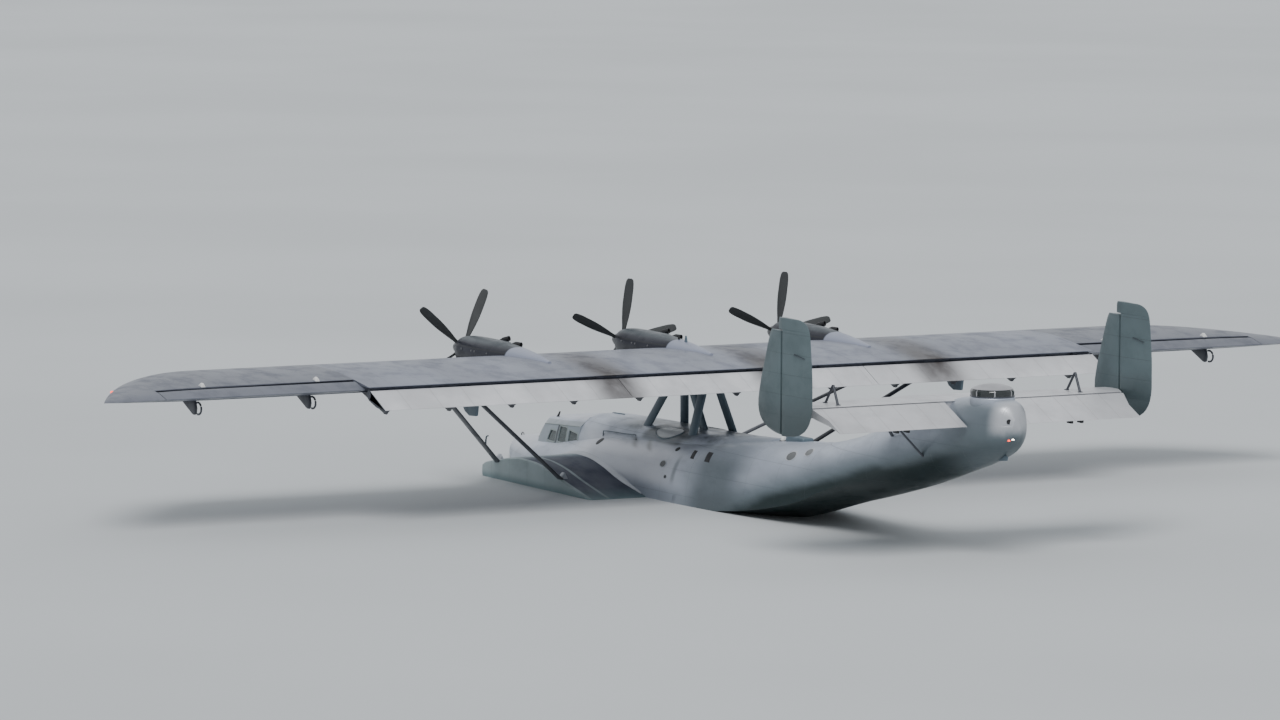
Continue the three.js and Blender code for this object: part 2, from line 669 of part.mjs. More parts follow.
const wingGroup = new THREE.Group();
root.add(wingGroup);
add("wing_centre", wingSolid, WING_GREY, [0, 0, 0], [0, 0, 0], wingGroup);
const outerGeometry = geometryOf(wingOuter());
add("wing_left", outerGeometry, WING_GREY, [0, 0, 0], [0, 0, 0], wingGroup);
add("wing_right", mirrored(outerGeometry), WING_GREY, [0, 0, 0], [0, 0, 0], wingGroup);
const aileronGeometry = geometryOf(aileron());
add("aileron_left", aileronGeometry, WING_GREY, [AILERON.x, 0, AILERON.z], [0, 0, 0], wingGroup);
add("aileron_right", mirrored(aileronGeometry), WING_GREY, [AILERON.x, 0, AILERON.z], [0, 0, 0], wingGroup);
for (const [name, y0, y1] of [
  ["flap_left", FLAP_JOINT + 8, FLAP_END - 12],
  ["flap_centre", -FLAP_JOINT + 8, FLAP_JOINT - 8],
  ["flap_right", -FLAP_END + 12, -FLAP_JOINT - 8],
]) {
  add(name, flap(y0, y1), WING_GREY, [FLAP_HINGE.x, 0, FLAP_HINGE.z], [0, 0, 0], wingGroup);
}

const engineBlock = cylinderX(ENGINE.x0, ENGINE.x1, 0, HUB.z - 40, ENGINE.radius);
const propellerGeometry = geometryOf(propeller());
for (const [name, side, turn] of [["left", 1, -23.4], ["middle", 0, -7.9], ["right", -1, -7.1]]) {
  const y = side * ENGINE_SPACING;
  const mount = new THREE.Group();
  mount.position.set(0, y, 0);
  root.add(mount);
  add(`nacelle_${name}`, nacelle(y), DARK_GREY, [0, 0, 0], [0, 0, 0], mount);
  add(`engine_${name}`, engineBlock, STRUT_GREY, [0, 0, 0], [0, 0, 0], mount);
  const rest = [(-turn * Math.PI) / 180, 0, 0];
  add(`propeller_${name}`, propellerGeometry, DARK_GREY, [HUB.x, 0, HUB.z], rest, mount);
}

// Struts: from a foot sunk to the skin of its carrier to the underside of the wing or tailplane
const wingUnder = wingSolid.add(wingSolid.translate([0, 0, -GAP]));
const hullSkin = bareHull.add(bareHull.translate([0, 0, GAP * 2]));
const CABANE_STRUTS = [
  // name, foot, top, chord
  ["cabane_front_left", [1480, 520, 1200], [690, 75, 2700], 330],
  ["cabane_front_right", [1480, -520, 1200], [690, -75, 2700], 330],
  ["cabane_rear_left", [-760, 570, 1200], [-600, 75, 2720], 330],
  ["cabane_rear_right", [-760, -570, 1200], [-600, -75, 2720], 330],
];
for (const [name, foot, top, chord] of CABANE_STRUTS) {
  add(name, bar(foot, top, chord, 120).subtract(wingUnder).subtract(hullSkin), STRUT_GREY);
}
const diagonal = bar([-500, 0, 1200], [480, 0, 2700], 330, 120);
add("cabane_diagonal", diagonal.subtract(wingUnder).subtract(hullSkin), STRUT_GREY);

const SPONSON_STRUTS = [
  // name, foot x, y, z, top x, y, z
  ["front", [4330, 2600, 300], [1000, 6050, 2720]],
  ["rear", [1320, 2600, 240], [-500, 6050, 2720]],
];
for (const [end, foot, top] of SPONSON_STRUTS) {
  for (const [name, side] of SIDES) {
    const skin = sponsons[name].add(sponsons[name].translate([0, 0, GAP * 2]));
    const strut = bar(across(foot, side), across(top, side), 190, 80);
    add(`sponson_strut_${end}_${name}`, strut.subtract(wingUnder).subtract(skin), DARK_GREY);
  }
}

add("tailplane", bareTailplane, FIN_GREY);
const elevatorGeometry = geometryOf(elevator());
const DROOP = (-20 * Math.PI) / 180;
add("elevator_left", elevatorGeometry, FIN_GREY, [TAIL.hinge, 0, TAIL.z], [0, DROOP, 0]);
add("elevator_right", mirrored(elevatorGeometry), FIN_GREY, [TAIL.hinge, 0, TAIL.z], [0, DROOP, 0]);
for (const [name, side] of SIDES) {
  add(`fin_${name}`, fin(), FIN_GREY, [0, side * FIN_SIDE, 0]);
  add(`rudder_${name}`, rudder(), FIN_GREY, [RUDDER.x, side * FIN_SIDE, 0]);
}
const tailUnder = bareTailplane.add(bareTailplane.translate([0, 0, -GAP]));
const TAIL_STRUTS = [
  // name, foot, top, chord, thickness
  ["front", [-9300, 500, 2150], [-10250, 1500, 2990], 120, 60],
  ["rear", [-10600, 500, 1850], [-10900, 1750, 2990], 90, 50],
];
for (const [end, foot, top, chord, thick] of TAIL_STRUTS) {
  for (const [name, side] of SIDES) {
    const strut = bar(across(foot, side), across(top, side), chord, thick);
    add(`tail_strut_${end}_${name}`, strut.subtract(tailUnder).subtract(hullSkin), STRUT_GREY);
  }
}
add("tail_dome", tailDome(), SILVER);

export default root;
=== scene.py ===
# A three-engined flying boat, afloat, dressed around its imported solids. Metres, +X forward, +Y port, +Z up.
import math

import bmesh
import bpy
import numpy as np
from mathutils import Matrix, Vector


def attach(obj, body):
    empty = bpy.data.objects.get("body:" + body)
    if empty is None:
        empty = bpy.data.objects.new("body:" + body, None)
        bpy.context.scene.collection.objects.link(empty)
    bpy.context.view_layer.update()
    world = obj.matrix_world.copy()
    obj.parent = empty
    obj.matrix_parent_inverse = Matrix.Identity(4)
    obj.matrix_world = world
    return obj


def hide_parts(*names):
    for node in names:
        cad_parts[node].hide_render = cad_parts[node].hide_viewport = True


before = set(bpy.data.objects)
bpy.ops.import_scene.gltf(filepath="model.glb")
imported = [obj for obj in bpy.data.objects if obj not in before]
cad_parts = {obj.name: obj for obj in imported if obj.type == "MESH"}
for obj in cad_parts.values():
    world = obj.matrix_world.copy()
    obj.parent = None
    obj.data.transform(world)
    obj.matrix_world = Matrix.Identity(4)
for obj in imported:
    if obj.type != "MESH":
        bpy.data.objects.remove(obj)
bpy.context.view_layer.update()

# Camera: aft of the port side, a little above, far away
FRAME_WIDTH = 1280
FOCAL_PIXELS = 6865
SENSOR = 36.0
VIEW = {"azimuth": 28.69, "elevation": 5.80, "roll": 0.32, "distance": 152.7,
        "target": Vector((2.60, 0, 2.69))}


def link(name, data):
    holder = bpy.data.objects.new(name, data)
    bpy.context.scene.collection.objects.link(holder)
    return holder


def make_camera():
    az, el, roll = (math.radians(VIEW[k]) for k in ("azimuth", "elevation", "roll"))
    forward = Vector((math.cos(az) * math.cos(el), -math.sin(az) * math.cos(el), -math.sin(el)))
    side = forward.cross(Vector((0, 0, 1))).normalized()
    top = side.cross(forward).normalized()
    right = side * math.cos(roll) + top * math.sin(roll)
    up = top * math.cos(roll) - side * math.sin(roll)
    data = bpy.data.cameras.new("camera")
    data.sensor_width = SENSOR
    data.lens = FOCAL_PIXELS / FRAME_WIDTH * SENSOR
    data.clip_start = 1.0
    data.clip_end = 2000.0
    camera = link("camera", data)
    turn = Matrix((right, up, -forward)).transposed().to_4x4()
    camera.matrix_world = Matrix.Translation(VIEW["target"] - forward * VIEW["distance"]) @ turn
    bpy.context.scene.camera = camera


make_camera()

# Meshes
SIDES = ((1, "left"), (-1, "right"))
WELD = 1e-6


def around(count):
    return [2 * math.pi * n / count for n in range(count)]


def spread(low, high, count):
    return [low + (high - low) * k / (count - 1) for k in range(count)]


def power(value, exponent):
    return math.copysign(abs(value) ** exponent, value)


def across(points, side):
    """Points of the port side, or their mirror image for side -1."""
    return [(x, side * y, z) for x, y, z in points]


def steady(xs, ys):
    """A curve through points that never swings past them: returns a function of x."""
    order = np.argsort(xs)
    x = np.array(xs, float)[order]
    y = np.array(ys, float)[order]
    step = np.diff(x)
    slope = np.diff(y) / step
    tangent = np.zeros(len(x))
    tangent[0], tangent[-1] = slope[0], slope[-1]
    for k in range(1, len(x) - 1):
        if slope[k - 1] * slope[k] > 0:
            w1, w2 = 2 * step[k] + step[k - 1], step[k] + 2 * step[k - 1]
            tangent[k] = (w1 + w2) / (w1 / slope[k - 1] + w2 / slope[k])

    def value(at):
        k = int(np.clip(np.searchsorted(x, at) - 1, 0, len(x) - 2))
        t = min(max((at - x[k]) / step[k], 0.0), 1.0)
        a = (1 + 2 * t) * (1 - t) ** 2 * y[k] + t * (1 - t) ** 2 * step[k] * tangent[k]
        return float(a + t * t * (3 - 2 * t) * y[k + 1] + t * t * (t - 1) * step[k] * tangent[k + 1])

    return value


def columns(table):
    """A curve for each further column of a table, by its first column."""
    return [steady([row[0] for row in table], [row[k] for row in table]) for k in range(1, len(table[0]))]


def values(curves, x):
    return [curve(x) for curve in curves]


def shade(piece, sharp=30.0):
    mesh = piece.data
    mesh.polygons.foreach_set("use_smooth", [True] * len(mesh.polygons))
    mesh.set_sharp_from_angle(angle=math.radians(sharp))
    return piece


def from_work(name, work, sharp):
    mesh = bpy.data.meshes.new(name)
    work.to_mesh(mesh)
    work.free()
    return shade(link(name, mesh), sharp)


def loft(name, rings, sharp=30.0, closed=False):
    """A skin over rings of points: capped at both ends, or closed from the last ring to the first."""
    count = len(rings[0])
    faces = []
    for i in range(len(rings) - (0 if closed else 1)):
        start, after = i * count, (i + 1) % len(rings) * count
        for j in range(count):
            k = (j + 1) % count
            faces.append((start + j, start + k, after + k, after + j))
    if not closed:
        last = (len(rings) - 1) * count
        faces += [tuple(range(count)), tuple(range(last, last + count))]
    mesh = bpy.data.meshes.new(name)
    mesh.from_pydata([tuple(p) for ring in rings for p in ring], [], faces)
    work = bmesh.new()
    work.from_mesh(mesh)
    bpy.data.meshes.remove(mesh)
    bmesh.ops.remove_doubles(work, verts=work.verts, dist=WELD)
    bmesh.ops.recalc_face_normals(work, faces=work.faces)
    return from_work(name, work, sharp)


def prism(name, outline, low, high, axis="y", sharp=30.0):
    """A plate with its outline in the other two axes, between two levels of one axis."""
    at = "xyz".index(axis)
    return loft(name, [[(*p[:at], level, *p[at:]) for p in outline] for level in (low, high)], sharp)


def block(name, x0, x1, y0, y1, z0, z1):
    return prism(name, [(x0, z0), (x1, z0), (x1, z1), (x0, z1)], y0, y1)


def tube(name, path, radius, sides=12, sharp=50.0):
    path = [Vector(p) for p in path]
    radii = radius if isinstance(radius, list) else [radius] * len(path)
    rings = []
    for k, point in enumerate(path):
        ahead = path[min(k + 1, len(path) - 1)] - path[max(k - 1, 0)]
        ahead.normalize()
        guide = Vector((0, 0, 1)) if abs(ahead.z) < 0.9 else Vector((1, 0, 0))
        u = ahead.cross(guide).normalized()
        v = ahead.cross(u).normalized()
        rings.append([point + radii[k] * (u * math.cos(t) + v * math.sin(t)) for t in around(sides)])
    return loft(name, rings, sharp)


def lathe(name, profile, centre, axis="z", sides=48, sharp=35.0):
    """A profile of radii and heights, turned around an axis."""
    at = "xyz".index(axis)
    rings = []
    for t in around(sides):
        ring = []
        for r, h in profile:
            place = [r * math.cos(t), r * math.sin(t)]
            place.insert(at, h)
            ring.append(Vector(centre) + Vector(place))
        rings.append(ring)
    return loft(name, rings, sharp, closed=True)


def disc(name, radius, low, high, centre, axis="z", sides=48):
    return lathe(name, [(0.0, low), (radius, low), (radius, high), (0.0, high)], centre, axis, sides)


def hull_of(name, points, sharp=20.0, bevel=0.0, segments=3):
    """The convex hull of points, with its edges rounded."""
    work = bmesh.new()
    for p in points:
        work.verts.new(p)
    bmesh.ops.convex_hull(work, input=work.verts)
    bmesh.ops.remove_doubles(work, verts=work.verts, dist=1e-5)
    bmesh.ops.dissolve_limit(work, angle_limit=math.radians(1), verts=work.verts, edges=work.edges)
    edges = [e for e in work.edges if e.is_manifold and e.calc_face_angle() > math.radians(8)]
    bmesh.ops.bevel(work, geom=edges, offset=bevel, segments=segments, profile=0.5, affect="EDGES",
                    clamp_overlap=True)
    bmesh.ops.recalc_face_normals(work, faces=work.faces)
    return from_work(name, work, sharp)


def taper(name, foot, top, sharp, bevel, segments=3):
    """A block from its foot to its top, each given as x0, x1, y0, y1, z."""
    points = [(x, y, part[4]) for part in (foot, top) for x in part[:2] for y in part[2:4]]
    return hull_of(name, points, sharp, bevel, segments)


def remove(piece):
    mesh = piece.data
    bpy.data.objects.remove(piece)
    bpy.data.meshes.remove(mesh)


def settle(piece, sharp=30.0):
    view = bpy.context.evaluated_depsgraph_get()
    mesh = bpy.data.meshes.new_from_object(piece.evaluated_get(view))
    old = piece.data
    piece.modifiers.clear()
    piece.data = mesh
    mesh.name = piece.name
    bpy.data.meshes.remove(old)
    return shade(piece, sharp)


def boolean(piece, others, sharp=30.0, operation="DIFFERENCE"):
    """Cuts the others out of the piece, or does another operation, and removes them."""
    for other in others:
        change = piece.modifiers.new("cut", "BOOLEAN")
        change.operation = operation
        change.object = other
        change.solver = "EXACT"
    settle(piece, sharp)
    for other in others:
        remove(other)
    return piece


def bevelled(piece, width, segments=2):
    change = piece.modifiers.new("round", "BEVEL")
    change.width = width
    change.segments = segments
    change.limit_method = "ANGLE"
    change.angle_limit = math.radians(30.0)
    return settle(piece)


def joined(name, pieces, sharp=30.0):
    work = bmesh.new()
    for piece in pieces:
        work.from_mesh(piece.data)
        remove(piece)
    return from_work(name, work, sharp)


# Materials: painted metal with mottling, panel joints, rivets and grime, with painted light and shade, in the
# boat's own coordinates
EVEN = (1, 1, 1)


class Tree:
    """A material's nodes. Masks and amounts are sockets or plain numbers."""

    def __init__(self, name):
        self.material = bpy.data.materials.new(name)
        self.material.use_nodes = True
        self.nodes = self.material.node_tree.nodes
        self.links = self.material.node_tree.links
        self.shader = self.nodes["Principled BSDF"]
        self.place = self.nodes.new("ShaderNodeTexCoord").outputs["Object"]
        split = self.nodes.new("ShaderNodeSeparateXYZ")
        self.links.new(self.place, split.inputs[0])
        self.x, self.y, self.z = split.outputs

    def put(self, value, socket):
        if isinstance(value, bpy.types.NodeSocket):
            self.links.new(value, socket)
        elif isinstance(value, tuple):
            socket.default_value = (*value, 1.0)
        else:
            socket.default_value = value

    def math(self, operation, a, b=0.0):
        node = self.nodes.new("ShaderNodeMath")
        node.operation = operation
        self.put(a, node.inputs[0])
        self.put(b, node.inputs[1])
        return node.outputs[0]

    def plus(self, a, b):
        return self.math("ADD", a, b)

    def minus(self, a, b):
        return self.math("SUBTRACT", a, b)

    def more(self, a, b):
        return self.math("MAXIMUM", a, b)

    def times(self, first, *others):
        for other in others:
            first = self.math("MULTIPLY", first, other)
        return first

    def away(self, coordinate, middle=0.0):
        return self.math("ABSOLUTE", self.minus(coordinate, middle))

    def remap(self, value, low, high, to_low=0.0, to_high=1.0, smooth=True):
        node = self.nodes.new("ShaderNodeMapRange")
        node.interpolation_type = "SMOOTHSTEP" if smooth else "LINEAR"
        for number, socket in zip((value, low, high, to_low, to_high), node.inputs):
            self.put(number, socket)
        return node.outputs[0]

    def noise(self, scale, stretch=EVEN, detail=4.0, rough=0.6):
        mapping = self.nodes.new("ShaderNodeMapping")
        mapping.inputs["Scale"].default_value = stretch
        self.links.new(self.place, mapping.inputs["Vector"])
        node = self.nodes.new("ShaderNodeTexNoise")
        self.links.new(mapping.outputs[0], node.inputs["Vector"])
        node.inputs["Scale"].default_value = scale
        node.inputs["Detail"].default_value = detail
        node.inputs["Roughness"].default_value = rough
        return node.outputs["Fac"]

    def mix(self, amount, a, b):
        node = self.nodes.new("ShaderNodeMix")
        node.data_type = "RGBA"
        self.put(amount, node.inputs[0])
        self.put(a, node.inputs[6])
        self.put(b, node.inputs[7])
        return node.outputs[2]

    def over(self, base, colour, *masks):
        """The base with a colour laid over it, by the product of the masks."""
        return self.mix(self.times(*masks), base, colour)

    def within(self, coordinate, low, high, soft=0.01):
        rise = self.remap(coordinate, low - soft, low + soft)
        return self.times(rise, self.remap(coordinate, high - soft, high + soft, 1.0, 0.0))

    def lines(self, coordinate, pitch, offset, width=0.006):
        distance = self.math("PINGPONG", self.minus(coordinate, offset), pitch / 2)
        return self.remap(distance, width * 0.4, width, 1.0, 0.0)

    def rivets(self, along, over, pitch, offset, radius=0.006, inset=0.025, spacing=0.045):
        """Rows of rivets beside the panel joints."""
        a = self.math("PINGPONG", along, spacing / 2)
        b = self.minus(self.math("PINGPONG", self.minus(over, offset), pitch / 2), inset)
        distance = self.math("SQRT", self.plus(self.times(a, a), self.times(b, b)))
        return self.remap(distance, radius * 0.5, radius, 1.0, 0.0)

    def finish(self, colour, roughness, height=None, metallic=0.0, depth=0.004):
        self.put(colour, self.shader.inputs["Base Color"])
        self.put(roughness, self.shader.inputs["Roughness"])
        self.shader.inputs["Metallic"].default_value = metallic
        if height is not None:
            bump = self.nodes.new("ShaderNodeBump")
            bump.inputs["Distance"].default_value = depth
            bump.inputs["Strength"].default_value = 0.6
            self.put(height, bump.inputs["Height"])
            self.links.new(bump.outputs[0], self.shader.inputs["Normal"])
        return self.material


def scaled(colour, factor):
    return tuple(min(1.0, c * factor) for c in colour)


def paint(name, colour, joints, rough, metallic, stretch, grime, marks=None, specular=None):
    """Weathered paint. joints: axis, pitch and offset of the panel joints. marks(tree, colour) adds marks."""
    tree = Tree(name)
    axes = {"x": tree.x, "y": tree.y, "z": tree.z}
    cloud = tree.remap(tree.noise(0.7, stretch), 0.35, 0.68)
    patch = tree.remap(tree.noise(3.2, stretch, 5.0, 0.62), 0.42, 0.72)
    base = tree.mix(cloud, scaled(colour, 0.86), scaled(colour, 1.1))
    base = tree.over(base, scaled(colour, 0.66), patch, grime)
    height = tree.times(tree.noise(60.0), 0.12)
    seams = studs = 0.0
    for axis, pitch, offset in joints:
        seams = tree.more(seams, tree.lines(axes[axis], pitch, offset))
        along = axes["y" if axis == "x" else "x"]
        studs = tree.more(studs, tree.rivets(along, axes[axis], pitch, offset))
    if joints:
        base = tree.over(base, scaled(colour, 0.35), seams, 0.5)
        base = tree.over(base, scaled(colour, 0.5), studs, 0.25)
        height = tree.plus(height, tree.minus(tree.times(studs, 0.5), tree.times(seams, 0.9)))
    roughness = tree.remap(patch, 0.0, 1.0, rough - 0.06, rough + 0.14, smooth=False)
    if marks:
        base = marks(tree, base)
    if specular is not None:
        tree.shader.inputs["Specular IOR Level"].default_value = specular
    return tree.finish(base, roughness, height, metallic)


def plain(name, colour, rough=0.5, metallic=0.0, grain=40.0, depth=0.002):
    tree = Tree(name)
    tone = tree.remap(tree.noise(grain), 0.3, 0.7)
    wide = tree.remap(tree.noise(2.5, EVEN, 3.0), 0.3, 0.7)
    base = tree.mix(tone, scaled(colour, 0.88), scaled(colour, 1.12))
    base = tree.over(base, scaled(colour, 0.7), wide, 0.3)
    roughness = tree.remap(wide, 0.0, 1.0, rough - 0.05, rough + 0.1, smooth=False)
    return tree.finish(base, roughness, tone, metallic, depth)


def glass(name, tint, alpha):
    tree = Tree(name)
    smear = tree.remap(tree.noise(5.0, EVEN, 3.0), 0.4, 0.8)
    base = tree.over(tint, scaled(tint, 1.8), smear, 0.4)
    tree.shader.inputs["Alpha"].default_value = alpha
    tree.shader.inputs["Coat Weight"].default_value = 0.6
    return tree.finish(base, tree.remap(smear, 0.0, 1.0, 0.06, 0.16, smooth=False))


def lamp(name, colour, strength):
    tree = Tree(name)
    tone = tree.remap(tree.noise(30.0, EVEN, 2.0, 0.5), 0.3, 0.7)
    tree.shader.inputs["Emission Color"].default_value = (*colour, 1.0)
    tree.shader.inputs["Emission Strength"].default_value = strength
    return tree.finish(tree.mix(tone, scaled(colour, 0.85), colour), 0.15)


# Paint colours
SILVER = (0.46, 0.50, 0.575)
# The two greens below are painted shade on the hull; the darker one is also painted reflection of the water
DEEP_SHADE_GREEN = (0.010, 0.024, 0.026)
SHADE_GREEN = (0.135, 0.17, 0.19)
WING = (0.213, 0.229, 0.285)
TAIL = (0.11, 0.152, 0.164)
SPONSON_TOP = (0.068, 0.080, 0.122)
SOOT = (0.030, 0.022, 0.021)
# Painted shadow round the deck's pale oval, and a darker tone for deck patches
DECK_DARK = (0.085, 0.10, 0.11)
SHADOW = (0.03, 0.032, 0.035)

ENGINE_Y = {"left": 4.0, "middle": 0.0, "right": -4.0}
FLAP_END = 9.0

# Height of the line where the hull's dark bottom, painted shade and reflection of the water, begins along the
# hull
SHADE_LINE = [(-1.7, -0.15), (-3.3, 0.0), (-5.1, 0.56), (-6.8, 1.05), (-8.4, 1.44), (-9.9, 1.74), (-11.3, 2.10),
        (-12.4, 2.39), (-13.2, 2.52)]


def shade_line_height(tree):
    height = SHADE_LINE[0][1]
    for (x0, z0), (x1, z1) in zip(SHADE_LINE, SHADE_LINE[1:]):
        height = tree.plus(height, tree.remap(tree.x, x0, x1, 0.0, z1 - z0, smooth=False))
    return height


def hull_marks(tree, base):
    x, z = tree.x, tree.z
    ragged = tree.remap(tree.noise(1.4, (0.3, 1, 1)), 0.3, 0.7, -0.05, 0.05)
    above = tree.plus(tree.minus(z, shade_line_height(tree)), ragged)
    # Painted shade: the hull darker towards its dark bottom, more so aft
    middle = tree.remap(above, 0.02, 0.62, 1.0, 0.0)
    base = tree.over(base, SHADE_GREEN, middle, tree.remap(x, 0.0, -4.0, 0.1, 0.95))
    # Painted shadow of the wing on the hull's side, darker lower down
    wing_shadow = tree.within(x, -3.9, -2.0, 0.6)
    base = tree.over(base, scaled(SHADE_GREEN, 0.7), wing_shadow, tree.remap(z, 1.5, 0.9, 0.3, 0.85))
    # Painted light: the hull's side paler beside the sponsons, between heights 0.32 and 1.1
    painted_light = tree.within(x, -1.1, 3.6, 0.7)
    base = tree.over(base, (0.70, 0.71, 0.76), painted_light, tree.within(z, 0.32, 1.1, 0.15), 0.9)
    seam = tree.within(x, -1.34, -1.20, 0.06)
    base = tree.over(base, (0.12, 0.14, 0.15), seam, tree.within(z, 0.45, 0.95, 0.1), 0.5)
    # Painted shadow in slanted gaps on the hull's shoulder: two dark slanted stripes
    slant = tree.minus(x, tree.times(z, 2.6))
    runs = tree.more(tree.within(slant, -1.75, -1.5, 0.15), tree.within(slant, -2.45, -2.25, 0.12))
    base = tree.over(base, (0.15, 0.145, 0.13), runs, tree.within(z, 0.97, 1.14, 0.05), 0.55)
    # Painted shade and painted reflection of the water: the dark bottom below the line
    low = tree.remap(above, -0.16, 0.13, 1.0, 0.0)
    base = tree.over(base, DEEP_SHADE_GREEN, low, tree.more(tree.remap(x, -1.6, -4.6), 0.6))
    base = tree.over(base, (0.62, 0.63, 0.66), tree.remap(x, 5.4, 7.2), tree.remap(z, 0.1, 0.45, 0.0, 0.75))
    # Painted shadow of the tailplane on the tail cone, below the tailplane's height
    rear = tree.remap(x, -10.8, -12.4)
    base = tree.over(base, scaled(SHADE_GREEN, 0.9), rear, tree.remap(z, 3.3, 3.1), 0.8)
    base = tree.over(base, (0.50, 0.51, 0.54), tree.remap(x, -12.82, -13.15), tree.remap(above, 0.0, 0.3))
    # Painted shadow round the deck's pale oval; the deck darker in patches between x -2.4 and 2.0
    deck = tree.times(tree.within(x, -2.4, 2.0, 0.5), tree.remap(z, 1.18, 1.34))
    along = tree.times(tree.minus(x, 0.16), 1.2)
    beside = tree.times(tree.minus(tree.away(tree.y), 0.57), 2.9)
    reach = tree.more(tree.times(along, along), tree.times(beside, beside))
    base = tree.over(base, DECK_DARK, tree.remap(reach, 0.7, 1.5, 0.75, 0.0), tree.remap(z, 1.1, 1.2))
    return tree.over(base, DECK_DARK, deck, tree.remap(tree.noise(1.7, (0.7, 1, 1)), 0.35, 0.6), 0.8)


def canopy_marks(tree, base):
    # The side below the roof's shoulder grey-green; painted shade along the shoulder, and a painted highlight
    # on the roof
    rise = tree.plus(tree.z, tree.times(tree.minus(tree.x, 5.9), 0.066))
    base = tree.over(base, (0.215, 0.26, 0.275), tree.remap(rise, 1.0, 0.98, 0.0, 0.6))
    base = tree.over(base, (0.17, 0.20, 0.20), tree.within(rise, 0.985, 1.075, 0.015), 0.6)
    return tree.over(base, (0.60, 0.61, 0.65), tree.remap(rise, 1.09, 1.13), 0.5)


def stain(tree, along):
    """Exhaust soot that drifts aft from each engine, over a share that goes along the chord."""
    total = 0.0
    patchy = tree.remap(tree.noise(2.4, (0.35, 1, 1)), 0.25, 0.62, 0.75, 1.0)
    for engine_y in ENGINE_Y.values():
        middle = tree.minus(engine_y - 0.97, tree.times(tree.x, 0.08))
        total = tree.more(total, tree.remap(tree.away(tree.y, middle), 0.12, 0.85, 1.0, 0.0))
    return tree.times(total, along, patchy)


def wing_marks(tree, base):
    x, z, half = tree.x, tree.z, tree.away(tree.y)
    base = tree.over(base, scaled(WING, 0.4), tree.remap(half, FLAP_END - 0.01, FLAP_END + 0.02, 0.0, 0.6))
    soot = stain(tree, tree.remap(x, -1.9, 2.6, 1.0, 0.0, smooth=False))
    base = tree.over(base, SOOT, soot, tree.remap(z, 2.86, 2.9))
    inside = tree.times(tree.remap(x, -1.2, -1.08, 1.0, 0.0), tree.remap(x, -2.05, -2.0))
    inboard = tree.remap(half, FLAP_END, FLAP_END + 0.01, 1.0, 0.0)
    base = tree.over(base, SHADOW, inside, tree.remap(z, 2.90, 2.84), inboard, 0.75)
    return tree.over(base, (0.3, 0.31, 0.33), tree.remap(x, 1.62, 1.66, 0.0, 0.35))


def flap_marks(tree, base):
    return tree.over(base, SOOT, stain(tree, tree.remap(tree.x, -2.75, -1.95, 0.75, 0.95)))


def fin_shade(tree, base):
    # Painted shade on the fin's lower part, darker towards the bottom
    return tree.over(base, scaled(TAIL, 0.45), tree.remap(tree.z, 3.8, 2.7, 0.0, 0.8))


def cowl_marks(tree, base):
    # The lower half darker: partly dark paint and soot, partly painted shade
    base = tree.over(base, (0.02, 0.02, 0.026), tree.remap(tree.z, 2.95, 3.12, 1.0, 0.0), 0.8)
    base = tree.over(base, (0.062, 0.077, 0.088), tree.remap(tree.z, 3.25, 3.34, 0.0, 0.85))
    base = tree.over(base, (0.03, 0.03, 0.034), tree.within(tree.z, 3.165, 3.20, 0.01), 0.7)
    return tree.over(base, scaled(WING, 1.45), tree.remap(tree.x, 0.86, 0.80))


def sponson_marks(tree, base):
    x, side = tree.x, tree.away(tree.y)
    reach = tree.minus(x, 1.55)
    bound = tree.plus(1.2, tree.times(reach, reach, 0.03))
    walk = tree.times(tree.math("GREATER_THAN", side, bound), tree.within(x, -0.4, 3.75, 0.05),
                      tree.within(side, 1.1, 2.69, 0.02))
    off_rib = tree.minus(1.0, tree.times(tree.within(side, 2.26, 2.33, 0.015), 0.75))
    aft = tree.minus(1.0, tree.remap(x, 2.4, 3.75, 0.0, 0.8))
    worn = tree.remap(tree.noise(1.8, (0.5, 1, 1)), 0.3, 0.7, 0.93, 1.0)
    base = tree.over(base, SPONSON_TOP, walk, off_rib, aft, tree.remap(tree.z, -0.02, 0.04), worn)
    return tree.over(base, (0.17, 0.245, 0.26), tree.remap(tree.z, 0.02, 0.2, 0.7, 0.0))


